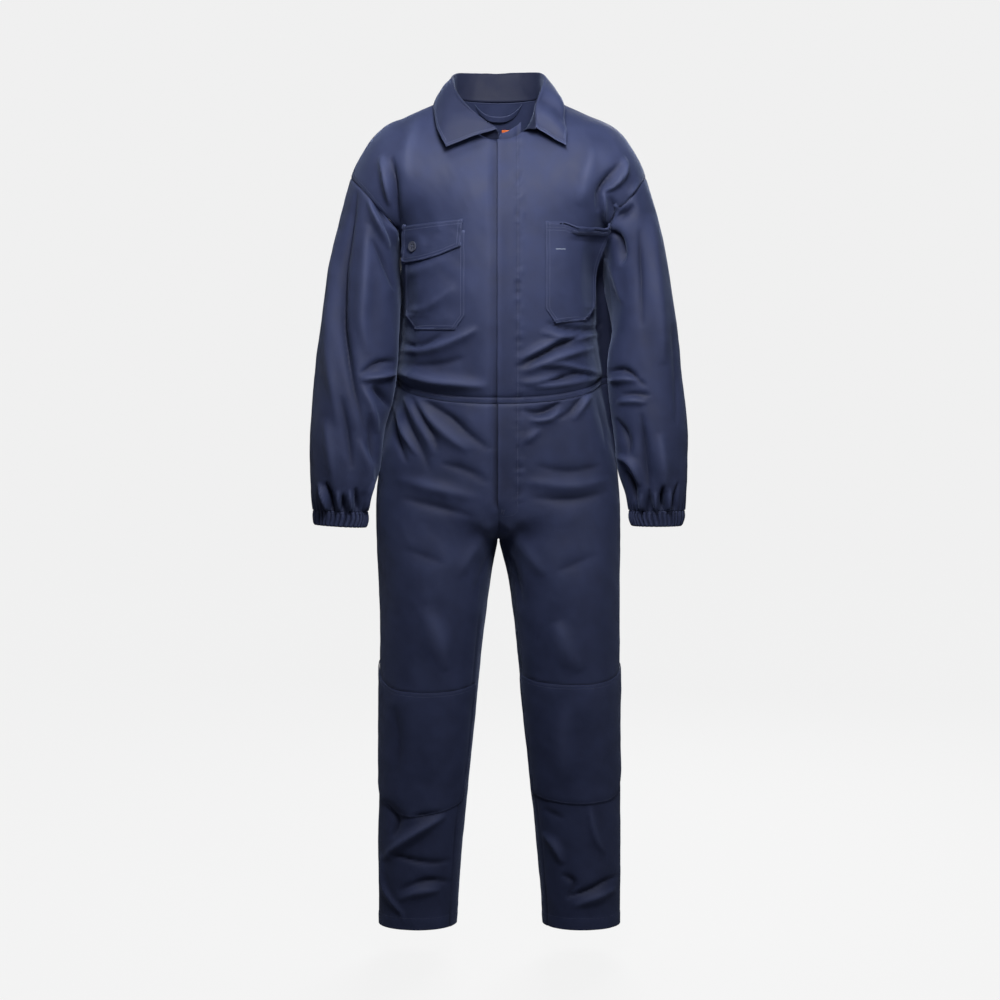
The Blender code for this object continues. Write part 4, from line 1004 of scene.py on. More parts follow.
for side in ("right", "left"):
    columns = spread(panelCut["columns"], fine=panelCut["fine"])
    surface = lambda share, rise, side=side: torsoPoint(share, rise, side, False)
    grid = torsoForm(frontSurface(surface, columns, torsoRises, side, np.ones(len(torsoRises))), columns)
    normals = facedOut(grid, upright(grid))
    high = torsoHeights(grid, normals, panelCut["band"]) + flyRelief(grid, side)
    high += dip(borderDistance(grid, "last"), panelCut["seamDip"]) + dip(borderDistance(grid, "end"), 0.0008)
    grid = grid + normals * high[..., None]
    outline, facing = grid, facedAs(normals, grid)
    keep("front_" + side, grid, facing)
    if side == "left":
        outline, facing = turnUnder(outline, facing, "first", 0.001)
        outline, facing = turnUnder(outline, facing, "end")
    made = makeSheet("front_" + side + "_cloth", outline, facing, panelCut["thick"])
    # painted shade under the arm, and on the right front beside the fly edge
    darken(made, underArmShade(outline) if side == "left" else np.maximum(underArmShade(outline), besideFly(outline)))

    # the felled seam runs down the front of the leg below the knee patch
    surface = lambda share, level, side=side: legPoint(share, level, side, False)
    opened = ease((legLevels - fly["end"]) / 0.025)
    fell = (columns[None, :] - tableValue(kneeCut[side]["fell"], legLevels)[:, None] + 0.008) * 0.36
    low = ease((-0.9 - legLevels[:, None]) / 0.15)
    felled = low * (dip(fell, 0.0013, 0.0022) + 0.0006 * (1 - ease(fell / 0.003 + 1)))
    grid, made, rows = legPanel(
        "leg_front_" + side, frontSurface(surface, columns, legLevels, side, opened), columns,
        lambda grid: flyRelief(grid, side) + felled
        + dip(borderDistance(grid, "first"), panelCut["seamDip"]) * (grid[..., 2] < fly["end"]), fly["end"] + 0.008)
    across = (columns - kneeCut["firstColumn"]) / (kneeCut["lastColumn"] - kneeCut["firstColumn"])
    # painted shadow just above the knee patch's top edge and painted shade along the felled seam, plus beside the
    # fly on the right leg
    above = (legLevels[:, None] - tableValue(kneeCut[side]["top"], across)[None, :] - 0.0015) / 0.0022
    paintedSeamShade = bell(above) * (across > 0)[None, :] + low * bell((fell + 0.001) / 0.0026)
    if side == "right":
        paintedSeamShade = np.maximum(paintedSeamShade, besideFly(grid))
    darken(made, np.concatenate([paintedSeamShade, np.zeros((rows - len(grid), paintedSeamShade.shape[1]))]))

    columns = spread(panelCut["backColumns"], fine=panelCut["fine"])
    legPanel("leg_back_" + side, legPoint(columns[None, :], legLevels[:, None], side, True), columns,
             lambda grid: dip(borderDistance(grid, "first"), panelCut["seamDip"]), 0.0)
    print("front and leg panels,", side)

columns = spread(panelCut["torsoBackColumns"], near=(1.0,), fine=panelCut["fine"])
halves = [torsoPoint(columns[None, ::-1], torsoRises[:, None], "right", True),
          torsoPoint(columns[None, 1:], torsoRises[:, None], "left", True)]
grid = torsoForm(np.concatenate(halves, axis=1), np.concatenate([columns[::-1], columns[1:]]))
normals = facedOut(grid, upright(grid))
high = torsoHeights(grid, normals, panelCut["band"])
for border in ("first", "last", "end"):
    high += dip(borderDistance(grid, border), 0.0009)
grid = grid + normals * high[..., None]
# painted shade under the arms
darken(makeSheet("back_cloth", grid, normals, panelCut["thick"]), underArmShade(grid))
keep("back", grid, normals)
print("back panel")

# ---- sleeves and gathered cuffs
sleeveCut = {
    "spare": {"right": 0.014, "left": 0.027}, "around": 128, "rows": 152,
    "ribs": 34, "ribHigh": 0.0044, "cuffRows": 17, "cuffAround": 306,
    "spareTurn": 3.93, "shadeTurn": 4.6, "turnWide": 0.62, "elasticWall": 0.0011,
    "tucks": ((0.018, 0.007), (0.008, 0.0034), (0.003, 0.0016)),
}


def ribHeight(turn, seed):
    # rounded pleats with sharp valleys, uneven in width
    phase = turn * sleeveCut["ribs"] / 2 + 0.9 * softNoise(turn / 0.3 + 9, 0 * turn + seed, seed)
    lobes = np.abs(np.sin(phase)) ** 0.62
    return (lobes - 0.55) * (1 + 0.35 * softNoise(turn / 0.19 + 30, 0 * turn, seed + 5, 1))


def ringTurns(count):
    # from the inner side round by the front, the outer side and the back
    return np.linspace(-math.pi / 2, 1.5 * math.pi, count, endpoint=False)


for side, sign in (("right", -1), ("left", 1)):
    turns = ringTurns(sleeveCut["around"])
    shares = np.unique(np.concatenate([np.linspace(0, 1, sleeveCut["rows"]), [0.0015, 0.0035, 0.9965, 0.9985]]))
    grid = tubePoint(sleeveRows[side], shares[:, None], turns[None, :], sign)
    normals = facedOut(grid, grid.mean(axis=1, keepdims=True), True)
    top, bottom = borderDistance(grid, "start"), borderDistance(grid, "end")
    away = (turns - sleeveCut["spareTurn"] + math.pi) % (2 * math.pi) - math.pi
    spare = bell(away / sleeveCut["turnWide"])[None, :]
    spare = spare * (ease(shares / 0.05) * (1 - ease((shares - 0.22) / 0.22)))[:, None]
    grid[..., 0] -= sign * sleeveCut["spare"][side] * spare
    high = creased(grid, normals, True) * ease(top / 0.01 + 0.25) * ease(bottom / 0.01 + 0.2)
    reach = 0.03 + 0.045 * np.abs(softNoise(turns * 2.4 + 11, 0 * turns + sign, 61, 1)) ** 1.2
    gather = ease((reach[None, :] - bottom) / reach[None, :]) ** 1.4
    high += ribHeight(turns + 0 * turns, 71)[None, :] * sleeveCut["ribHigh"] * gather * 1.35
    high += dip(top, 0.0014, 0.0026)
    grid = grid + normals * high[..., None]
    facing = facedAs(normals, grid, True)
    keep("sleeve_" + side, grid, facing)
    # seam allowance inside the armhole
    back = unit(grid[0] - grid[4])
    tucked = [grid[0] + back * run - facing[0] * sink for run, sink in sleeveCut["tucks"]]
    made = makeSheet("sleeve_" + side + "_cloth", np.concatenate([tucked, grid]),
                     np.concatenate([facing[:1]] * len(tucked) + [facing]), panelCut["thick"], closed=True)
    # painted shade on the cloth in the crease under the arm
    creaseShade = 1.2 * bell((turns - sleeveCut["shadeTurn"]) / sleeveCut["turnWide"])[None, :]
    creaseShade = creaseShade * (ease(shares / 0.1) * (1 - ease((shares - 0.45) / 0.3)))[:, None]
    darken(made, np.concatenate([creaseShade[:1]] * len(tucked) + [creaseShade]))

    turns = ringTurns(sleeveCut["cuffAround"])
    shares = np.linspace(0, 1, sleeveCut["cuffRows"])
    grid = tubePoint(cuffRows[side], shares[:, None], turns[None, :], sign)
    normals = facedOut(grid, grid.mean(axis=1, keepdims=True), True)
    ends = np.minimum(shares, 1 - shares)[:, None]
    ribs = ribHeight(turns[None, :] + 0.03 * np.sin(shares[:, None] * 5), 71)
    high = ribs * sleeveCut["ribHigh"] * (0.62 + 0.38 * ease(ends / 0.16))
    high += 0.001 * (ease(ends / 0.1) - 0.6) + dip(shares[:, None] * 0.0296 - 0.005, 0.0008, 0.0011)
    grid = grid + normals * high[..., None]
    facing = facedAs(normals, grid, True)
    keep("cuff_" + side, grid, facing)
    makeSheet("cuff_" + side + "_cloth", grid, facing, sleeveCut["elasticWall"], closed=True, deep=0.0011)
print("sleeves and cuffs")

# ---- knee patches, laid on the leg panels
def between(sheet, rows, columns):
    # places and wall directions at fractional rows and columns of a sheet
    r = np.clip(np.floor(rows).astype(int), 0, sheet["grid"].shape[0] - 2)
    c = np.clip(np.floor(columns).astype(int), 0, sheet["grid"].shape[1] - 2)
    s, t = (rows - r)[..., None], (columns - c)[..., None]
    found = []
    for values in (sheet["grid"], sheet["normals"]):
        found.append((values[r, c] * (1 - t) + values[r, c + 1] * t) * (1 - s)
                     + (values[r + 1, c] * (1 - t) + values[r + 1, c + 1] * t) * s)
    return found


for side in ("right", "left"):
    leg = sheets["leg_front_" + side]
    across = spread(kneeCut["columns"], fine=(0.006, 0.014))
    down = spread(kneeCut["rows"], fine=(0.006, 0.014))
    last = leg["grid"].shape[1] - 1
    top, bottom = tableValue(kneeCut[side]["top"], across), tableValue(kneeCut[side]["bottom"], across)
    levels = top[None, :] + (bottom - top)[None, :] * down[:, None]
    rows = np.interp(-levels, -legLevels, np.arange(len(legLevels)))
    first = tableValue(kneeCut[side]["fell"], levels)
    places, facing = between(leg, rows, (first + (kneeCut["lastColumn"] - first) * across) * last)
    edge = np.minimum(down, 1 - down)[:, None] * 0.22 + 0 * levels
    lifted = kneeCut["out"] + 0.0009 * ease(edge / 0.01)
    lifted += 0.0004 * softNoise(places[..., 0] / 0.03, levels / 0.04, 83)
    grid = places + facing * lifted[..., None]
    keep("knee_patch_" + side, grid, facing)
    outline, turned = turnedUnder(grid, facing, allBorders, *narrowFold)
    makeSheet("knee_patch_" + side + "_cloth", outline, turned, kneeCut["thick"])
print("knee patches")

# ---- chest pockets and flap
pocketCut = {
    "right": {"inner": -0.062, "outer": -0.173, "top": -0.252, "bottom": -0.4335, "cut": 0.026, "out": 0.0016},
    "left": {"inner": 0.087, "outer": 0.186, "top": -0.2365, "bottom": -0.4215, "cut": 0.026, "out": 0.0016},
    "columns": 56, "rows": 84, "gape": 0.0105, "droop": 0.0075, "thick": 0.0005,
}
flapCut = {
    "inner": -0.0655, "outer": -0.1765, "topInner": -0.2322, "topOuter": -0.2425, "columns": 60, "rows": 34,
    "low": ((0, -0.2805), (0.3, -0.2935), (0.56, -0.303), (0.8, -0.3075), (0.93, -0.3085), (1, -0.306)),
}


def treeOf(grid):
    rows, columns = grid.shape[:2]
    r, c = np.meshgrid(np.arange(rows - 1), np.arange(columns - 1), indexing="ij")
    first = r * columns + c
    faces = np.stack([first, first + 1, first + columns + 1, first + columns], axis=-1)
    return BVHTree.FromPolygons(grid.reshape(-1, 3).tolist(), faces.reshape(-1, 4).tolist())


def hitOf(tree, x, z, start=-1.0):
    # place and direction of the first cloth met on the way from front to back
    return tree.ray_cast(Vector((x, start, z)), Vector((0.0, 1.0, 0.0)))[:2]


def onFront(tree, x, z, slope=1.15, limit=0.176):
    # depth of the front cloth at each place, carried on past the side where the cloth turns away
    y = np.zeros(x.shape)
    for index in np.ndindex(x.shape):
        inside = math.copysign(min(abs(x[index]), limit), x[index])
        y[index] = hitOf(tree, inside, z[index])[0].y + (abs(x[index]) - abs(inside)) * slope
    return y


def relaxed(y, times):
    # evens out a laid sheet without letting it sink into the cloth below
    found = y.copy()
    for _ in range(times):
        padded = np.pad(found, 1, mode="edge")
        mean = (padded[:-2, 1:-1] + padded[2:, 1:-1] + padded[1:-1, :-2] + padded[1:-1, 2:]) / 4
        found = np.minimum(mean, y)
    return found


def pocketGrid(cut, side):
    across, down = spread(pocketCut["columns"], fine=(0.008, 0.02)), spread(pocketCut["rows"], fine=(0.005, 0.012))
    z = cut["top"] + (cut["bottom"] - cut["top"]) * down[:, None] + 0 * across[None, :]
    sign = math.copysign(1, cut["outer"])
    # columns draw in where the lower corners are cut off
    corner = np.clip(cut["cut"] - (z - cut["bottom"]), 0, None) * 0.72
    inner, outer = cut["inner"] + sign * corner, cut["outer"] - sign * corner
    if side == "left":
        outer = outer + 0.022 * (1 - ease(down[:, None] / 0.55)) - 0.006 * down[:, None]
        z = z + 0.006 * across[None, :] * ease((down[:, None] - 0.5) / 0.5)
    return inner + (outer - inner) * across[None, :], z, across, down


def clothOver(name, x, z, out, tree, times, lift=0.0, slope=1.15):
    y = relaxed(onFront(tree, x, z, slope), times)
    grid = point(x, y, z)
    normals = facedOut(grid, grid * (1, 0, 1) + (0, 0.3, 0))
    grid = grid + normals * np.expand_dims(out + lift + 0 * x, -1)
    normals = facedOut(grid, grid * (1, 0, 1) + (0, 0.3, 0))
    keep(name, grid, normals)
    return grid, normals


trees = {side: treeOf(sheets["front_" + side]["grid"]) for side in ("right", "left")}
x, z, across, down = pocketGrid(pocketCut["right"], "right")
wave = 0.0009 * softNoise(x / 0.035 + 3, z / 0.03, 91)
grid, normals = clothOver("pocket_right", x, z, pocketCut["right"]["out"], trees["right"], 30, wave + 0.0006)
grid, normals = turnedUnder(grid, normals, ("end", "first", "last"), *narrowFold)
makeSheet("pocket_right_cloth", grid, normals, pocketCut["thick"], worn=1.0)

x, z, across, down = pocketGrid(pocketCut["left"], "left")
slack = ease((across[None, :] - 0.26) / 0.2) * ease((1.02 - across[None, :]) / 0.1)
mouth = bell(down[:, None] / 0.1)
z = z - pocketCut["droop"] * slack * bell(down[:, None] / 0.22)
wave = 0.0008 * softNoise(x / 0.035 + 8, z / 0.03, 93)
gape = pocketCut["gape"] * mouth * slack - 0.004 * bell((down[:, None] - 0.26) / 0.1) * slack * 0.5
grid, normals = clothOver("pocket_left", x, z, pocketCut["left"]["out"] + 0.0006, trees["left"], 30,
                          np.maximum(wave + gape, 0.0), 0.45)
grid, normals = turnedUnder(grid, normals, ("end", "first", "last"), *narrowFold)
grid, normals = turnUnder(grid, normals, "start", 0.0012, 0.014)
makeSheet("pocket_left_cloth", grid, normals, 0.0006, worn=1.0)

across, down = spread(flapCut["columns"], fine=(0.008, 0.02)), spread(flapCut["rows"], fine=(0.02, 0.05))
x = flapCut["inner"] + (flapCut["outer"] - flapCut["inner"]) * across[None, :] + 0 * down[:, None]
top = flapCut["topInner"] + (flapCut["topOuter"] - flapCut["topInner"]) * across
low = tableValue(flapCut["low"], across)
z = top[None, :] + (low - top)[None, :] * down[:, None]
x = x - 0.004 * (1 - across[None, :]) * down[:, None]
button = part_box("pocket_button")
buttonAt = (np.array(button[0]) + np.array(button[1])) / 2 + (0.005, 0, 0)
pull = np.hypot(x - buttonAt[0], z - buttonAt[2])
lift = 0.002 + 0.0022 * down[:, None] + 0.001 * softNoise(x / 0.028, z / 0.02 + 4, 97)
lift = lift - 0.0012 * bell(pull / 0.012) + 0.0012 * bell((pull - 0.02) / 0.008)
lift = np.maximum(lift, 0.0012)
grid, normals = clothOver("pocket_flap", x, z, 0.002, trees["right"], 40, lift)
grid, normals = turnedUnder(grid, normals, allBorders, 0.0009, 0.006)
makeSheet("pocket_flap_cloth", grid, normals, 0.0007, worn=1.0)
print("pockets and flap")

# ---- collar
collarColumns = ("share", "rollX", "rollY", "rollZ", "edgeX", "edgeY", "edgeZ", "bulge")
collarBehind = [
    (0.0, 0.0, 0.069, 0.0535, 0.0, 0.098, -0.015, 0.003),
    (0.2, 0.045, 0.065, 0.0535, 0.056, 0.092, -0.014, 0.003),
    (0.38, 0.079, 0.038, 0.05, 0.099, 0.062, -0.006, 0.002),
    (0.5, 0.086, 0.004, 0.038, 0.118, 0.008, -0.005, 0.001),
]
collarRows = {
    "right": collarBehind + [
        (0.65, 0.078, -0.042, 0.01, 0.118, -0.049, -0.034, 0.004),
        (0.8, 0.056, -0.076, -0.022, 0.112, -0.086, -0.064, 0.005),
        (1.0, 0.003, -0.1, -0.064, 0.096, -0.112, -0.0985, 0.001),
    ],
    "left": collarBehind + [
        (0.65, 0.08, -0.042, 0.011, 0.121, -0.047, -0.03, 0.009),
        (0.8, 0.069, -0.07, -0.018, 0.124, -0.08, -0.062, 0.006),
        (1.0, 0.068, -0.094, -0.061, 0.125, -0.106, -0.095, -0.004),
    ],
}
collarCut = {"right": 0.0, "left": 0.123, "along": 100, "profile": 46, "thick": 0.0017, "above": 0.0012}


def collarHalf(side):
    sign = 1 if side == "left" else -1
    share = np.linspace(0, 1, collarCut["along"])
    value = {name: lookUp(collarColumns, collarRows[side], name, share) for name in collarColumns[1:]}
    # the neckline behind, then in front as far as the collar's end
    behind = topPoint(np.clip(share / 0.5, 0, 1) * neck["share"], side, True)
    reach = np.clip((share - 0.5) / 0.5, 0, 1)
    ahead = topPoint(neck["share"] - (neck["share"] - collarCut[side]) * reach, side, False)
    base = np.where((share <= 0.5)[:, None], behind, ahead * (1, 0.985, 1)) + (0, 0, collarCut["above"])
    roll = point(sign * value["rollX"], value["rollY"], value["rollZ"])
    edge = point(sign * value["edgeX"], value["edgeY"], value["edgeZ"])
    away = unit((edge - roll) * (1, 1, 0))
    fall = edge - roll
    lift = away * value["bulge"][:, None]
    up = (0, 0, 1)
    controls = [base, base + (roll - base) * 0.5 - away * 0.0015, roll - away * 0.0004 - np.array(up) * 0.004,
                roll + away * 0.0022, roll + away * 0.005 - np.array(up) * 0.0034,
                roll + away * 0.0046 + fall * 0.34 + lift, roll + away * 0.003 + fall * 0.68 + lift * 0.9,
                edge]
    return np.array(controls)


halves = {side: curveThrough(collarHalf(side), 7).swapaxes(0, 1) for side in ("right", "left")}
grid = np.concatenate([halves["right"][1:][::-1], halves["left"]])
normals = gridNormals(grid)
if normals[collarCut["along"], 2, 1] > 0:
    normals = -normals
down = np.linspace(0, 1, grid.shape[1])[None, :]
along = np.linspace(-1, 1, grid.shape[0])[:, None]
fallen = ease((down - 0.52) / 0.15)
ripple = 0.0016 * np.sin(along * 21 + 1.0) * ease((np.abs(along) - 0.45) / 0.3) * fallen
ripple += 0.0026 * np.sin((along - 0.78) * 26) * ease((along - 0.62) / 0.12) * fallen
ripple += 0.001 * softNoise(along * 9 + 20 + 0 * down, down * 5 + 0 * along, 101)
ripple *= 1 - 0.5 * ease((down - 0.85) / 0.15)
grid = grid + normals * ripple[..., None]
normals = facedAs(normals, grid)
collar = makeSheet("collar_cloth", grid, normals, collarCut["thick"], offset=1.0, worn=0.8)
# painted shade on the inner side of the stand and on the fall of the wearer's right leaf
darken(collar, 1.15 * (1 - ease((down - 0.34) / 0.08)) + 0.5 * ease((-along - 0.38) / 0.2))
keep("collar", grid + normals * collarCut["thick"], normals)
print("collar")

# ---- facing behind the fly, with the end that shows at the neck
facingCut = {"from": 0.0014, "to": 0.042, "behind": 0.0028, "tab": 0.008, "columns": 18, "thick": 0.0006}
rows = []
for name in ("leg_front_left", "front_left"):
    sheet = sheets[name]
    order = range(0, len(sheet["grid"]), 3)
    if name == "leg_front_left":
        order = [r for r in order if sheet["grid"][r, 0, 2] > fly["end"] + 0.02][::-1][:-2]
    else:
        order = list(order)[2:] + [len(sheet["grid"]) - 1]
    for r in order:
        line, out = sheet["grid"][r], sheet["normals"][r]
        at = np.linspace(facingCut["from"], facingCut["to"], facingCut["columns"])
        rows.append(sampled(at, line[:, 0], line) - sampled(at, line[:, 0], out) * facingCut["behind"])
topRow = rows[-1]
share = np.linspace(0, 1, facingCut["columns"])
for step in np.linspace(0.2, 1, 6):
    height = (0.0125 * ease(share / 0.1 + 0.35) + facingCut["tab"] * ease(share / 0.95)) * step
    rows.append(topRow + point(0.0015 * step * (1 - share), 0.1 * height - 0.0015 * step, height))
grid = np.array(rows)
normals = facedOut(grid, grid * (1, 0, 1))
grid, normals = turnedUnder(grid, normals, ("end", "last"), 0.0006, 0.004)
makeSheet("fly_facing_cloth", grid, normals, facingCut["thick"])

# ---- hanger loop and plain patch inside the back neck
trimCut = {"half": 0.045, "drop": 0.022, "wide": 0.0105, "stand": 0.006, "patchFrom": 0.0065,
           "patchTo": 0.029, "patchTop": -0.0515, "patchLow": -0.066}
backTree = treeOf(sheets["back"]["grid"])


def insideBack(x, z, clear):
    hit, normal = hitOf(backTree, x, z, 0.0)
    return (x, hit.y - clear / max(abs(normal.y), 0.3), z)


rows = []
for edge in np.linspace(0, 1, 7):
    row = []
    for way in np.linspace(-1, 1, 61):
        sag = trimCut["drop"] * (1 - abs(way) ** 2.6)
        x = trimCut["half"] * way * (1 - 0.1 * edge)
        z = neck["backZ"] - 0.004 - sag - edge * trimCut["wide"]
        row.append(insideBack(x, z, 0.003 + trimCut["stand"] * (1 - abs(way) ** 2)))
    rows.append(row)
grid = np.array(rows)
normals = facedOut(grid, grid + (0, 1, 0))
makeSheet("hanger_loop_cloth", grid, normals, 0.0012)
keep("hanger_loop", grid, normals)
rows = [[insideBack(x, z, 0.0026) for x in np.linspace(trimCut["patchFrom"], trimCut["patchTo"], 15)]
        for z in np.linspace(trimCut["patchTop"], trimCut["patchLow"], 12)]
grid = np.array(rows)
normals = facedOut(grid, grid + (0, 1, 0))
makeSheet("neck_label_cloth", grid, normals, 0.0006, orangeWoven)
keep("neck_label", grid, normals)
print("facing, loop and label")

# ---- button with four holes
buttonCut = {
    "radius": 0.0094, "thick": 0.0028, "rim": 0.0016, "dish": 0.0008, "hole": 0.0015, "spread": 0.0025,
    "round": 0.00035, "stand": 0.0014,
}


def clearSelection():
    for thing in bpy.context.selected_objects:
        thing.select_set(False)


def applied(thing):
    bpy.context.view_layer.objects.active = thing
    for modifier in list(thing.modifiers):
        bpy.ops.object.modifier_apply(modifier=modifier.name)


clearSelection()
bpy.ops.mesh.primitive_cylinder_add(vertices=64, radius=buttonCut["radius"], depth=buttonCut["thick"])
disc = bpy.context.object
disc.name = "pocket_button_moulded"
bpy.ops.object.mode_set(mode="EDIT")
bpy.ops.mesh.select_mode(type="FACE")
bpy.ops.mesh.select_all(action="DESELECT")
bpy.ops.object.mode_set(mode="OBJECT")
for face in disc.data.polygons:
    face.select = face.normal.z > 0.9
bpy.ops.object.mode_set(mode="EDIT")
bpy.ops.mesh.inset(thickness=buttonCut["rim"])
bpy.ops.transform.translate(value=(0, 0, -buttonCut["dish"]))
bpy.ops.mesh.inset(thickness=0.0005)
bpy.ops.object.mode_set(mode="OBJECT")
holes = []
for a, b in ((1, 1), (1, -1), (-1, 1), (-1, -1)):
    clearSelection()
    bpy.ops.mesh.primitive_cylinder_add(vertices=20, radius=buttonCut["hole"], depth=0.008,
                                        location=(a * buttonCut["spread"], b * buttonCut["spread"], 0))
    holes.append(bpy.context.object)
clearSelection()
for hole in holes:
    hole.select_set(True)
bpy.context.view_layer.objects.active = holes[0]
bpy.ops.object.join()
drill = bpy.context.object
cut = disc.modifiers.new("holes", "BOOLEAN")
cut.operation, cut.object, cut.solver = "DIFFERENCE", drill, "EXACT"
rounding = disc.modifiers.new("rounding", "BEVEL")
rounding.width, rounding.segments, rounding.limit_method = buttonCut["round"], 3, "ANGLE"
applied(disc)
bpy.data.objects.remove(drill, do_unlink=True)
hit, facing = hitOf(treeOf(sheets["pocket_flap"]["grid"]), buttonAt[0], buttonAt[2])
facing = facing if facing.y < 0 else -facing
clearSelection()
disc.select_set(True)
bpy.context.view_layer.objects.active = disc
facing = (facing * 0.8 + Vector((0, -0.2, 0))).normalized()
disc.rotation_euler = facing.to_track_quat("Z", "Y").to_euler()
disc.location = hit + facing * (buttonCut["thick"] / 2 + buttonCut["stand"])
bpy.ops.object.transform_apply(location=True, rotation=True, scale=True)
disc.data.materials.clear()
disc.data.materials.append(buttonPlastic)
for face in disc.data.polygons:
    face.use_smooth = True
bpy.ops.object.shade_smooth_by_angle(angle=math.radians(35))
# thread through the holes
turn = facing.to_track_quat("Z", "Y")
for first, second in (((1, 1), (-1, -1)), ((1, -1), (-1, 1))):
    ends = [hit + facing * (buttonCut["thick"] + 0.0008)
            + turn @ Vector((a * buttonCut["spread"], b * buttonCut["spread"], 0)) for a, b in (first, second)]
    run = np.array([ends[0].lerp(ends[1], t) for t in np.linspace(0, 1, 5)])
    sewAlong(run, np.array([facing] * 5), "navy", 0.007, 0.0062, 0.00022, 0.0002)
print("button")

# ---- stitching
pairSeams = [
    ("front_", "start", (0.0018, 0.0088)), ("leg_front_", "end", (0.022,)), ("leg_back_", "end", (0.022,)),
    ("leg_front_", "last", (0.0022,)), ("leg_back_", "first", (0.002,)),
    ("front_", "end", (0.0018, 0.008), 0.3, 1.0), ("front_", "last", (0.0022, 0.0088), 0.47, 1.0),
    ("knee_patch_", "start", (0.002, 0.0068)), ("knee_patch_", "end", (0.002,)),
    ("knee_patch_", "first", (0.002,)), ("knee_patch_", "last", (0.002,)), ("cuff_", "start", (0.005,)),
    ("pocket_", "end", (0.0018, 0.0075)), ("pocket_", "first", (0.0018, 0.0075)),
    ("pocket_", "last", (0.0018, 0.0075)),
]
singleSeams = [
    ("back", "start", (0.0018, 0.0088)), ("back", "end", (0.0018, 0.008)),
    ("back", "first", (0.0022, 0.0088), 0.47, 1.0), ("back", "last", (0.0022, 0.0088), 0.47, 1.0),
    ("pocket_left", "start", (0.0095, 0.015), 0.02, 0.98), ("pocket_flap", "start", (0.0016, 0.007)),
    ("pocket_flap", "end", (0.0018, 0.0072)), ("pocket_flap", "first", (0.0018, 0.0072)),
    ("pocket_flap", "last", (0.0018, 0.0072)), ("collar", "last", (0.0052,), 0.03, 0.97),
    ("collar", "start", (0.0052,), 0.5, 1.0), ("collar", "end", (0.0052,), 0.5, 1.0),
]
for side in ("right", "left"):
    for name, *rest in pairSeams:
        sewBorder(name + side, *rest)
for seam in singleSeams:
    sewBorder(*seam)


def along(name, x, low, top):
    # run of places down one sheet at a steady distance from the centre line
    sheet = sheets[name]
    run, out = [], []
    for line, facing in zip(sheet["grid"], sheet["normals"]):
        z = np.interp(x, line[:, 0], line[:, 2])
        if low <= z <= top:
            run.append(sampled(x, line[:, 0], line))
            out.append(sampled(x, line[:, 0], facing))
    return np.array(run), np.array(out)


sewAlong(*along("front_left", fly["stitch"], -0.56, -0.07), "faded")
sewAlong(*along("leg_front_left", fly["stitch"], fly["end"] + 0.012, -0.54), "faded")
legTree = treeOf(sheets["leg_front_left"]["grid"])
pocketTree = treeOf(sheets["pocket_left"]["grid"])


def sewAcross(tree, places, thread="navy", **values):
    run, out = [], []
    for x, z in places:
        hit, facing = hitOf(tree, x, z)
        if hit is not None:
            run.append(tuple(hit))
            out.append(tuple(facing if facing.y < 0 else -facing))
    if len(run) > 1:
        sewAlong(np.array(run), np.array(out), thread, **values)


# X of the fly stitching as it turns in, and its height from the fly's end
flyTurn = ((fly["stitch"], 0.012), (0.033, 0.002), (0.022, -0.004), (0.006, -0.006))
paleBar = {"from": 0.106, "to": 0.124, "z": -0.2856, "half": 0.0007}
flyBar = {"from": 0.0045, "to": 0.0115, "half": 0.004}
sewAcross(legTree, smoothRun([(x, fly["end"] + rise) for x, rise in flyTurn], 6))
for lift in np.linspace(-paleBar["half"], paleBar["half"], 6):
    places = [(x, paleBar["z"] + lift + 0.0003 * math.sin(x * 900))
              for x in np.linspace(paleBar["from"], paleBar["to"], 12)]
    sewAcross(pocketTree, places, "pale", pitch=0.0014, long=0.0019, wide=0.00034, high=0.0005)
for lift in np.linspace(-flyBar["half"], flyBar["half"], 9):
    slant, middle = lift * 0.2, fly["end"] + lift
    places = [(flyBar["from"] + slant, middle + 0.004), (flyBar["to"] + slant, middle + 0.003)]
    sewAcross(legTree, places, pitch=0.0024, long=0.0026)
for side in ("right", "left"):
    # one felled line on the front of each leg, just outside the inseam
    columns = spread(panelCut["columns"], fine=panelCut["fine"])
    column = int(np.searchsorted(columns, kneeCut[side]["fell"][2][1] - 0.02))
    leg = sheets["leg_front_" + side]
    sewAlong(leg["grid"][kneeCut["felledRows"], column], leg["normals"][kneeCut["felledRows"], column])

for name, material in (("navy", navyThread), ("faded", fadedThread), ("pale", paleThread)):
    points, faces = threads[name]
    mesh = bpy.data.meshes.new(name + "_stitches")
    mesh.from_pydata(np.concatenate(points).tolist(), [], faces)
    mesh.materials.append(material)
    mesh.shade_smooth()
    placed(name + "_stitches", mesh)
print("stitches", len(threads["navy"][1]) // 12)

# ---- what each piece stands for
held = {
    "front_right": ("hung", ["back", "collar"]), "front_left": ("hung", ["back", "front_right"]),
    "back": ("hung", ["front_right", "front_left"]), "collar": ("folded", ["front_right", "front_left", "back"]),
    "fly_facing": ("hung", ["front_left", "front_right"]),
    "sleeve_right": ("hung", ["front_right", "back"]), "sleeve_left": ("hung", ["front_left", "back"]),
    "cuff_right": ("gathered", ["sleeve_right"]), "cuff_left": ("gathered", ["sleeve_left"]),
    "leg_front_right": ("hung", ["front_right"]), "leg_front_left": ("hung", ["front_left"]),
    "leg_back_right": ("hung", ["back"]), "leg_back_left": ("hung", ["back"]),
    "knee_patch_right": ("laid", ["leg_front_right"]), "knee_patch_left": ("laid", ["leg_front_left"]),
    "pocket_right": ("laid", ["front_right"]), "pocket_left": ("laid", ["front_left"]),
    "pocket_flap": ("laid", ["pocket_right", "front_right"]),
    "hanger_loop": ("hung", ["back"]), "neck_label": ("laid", ["back"]),
}
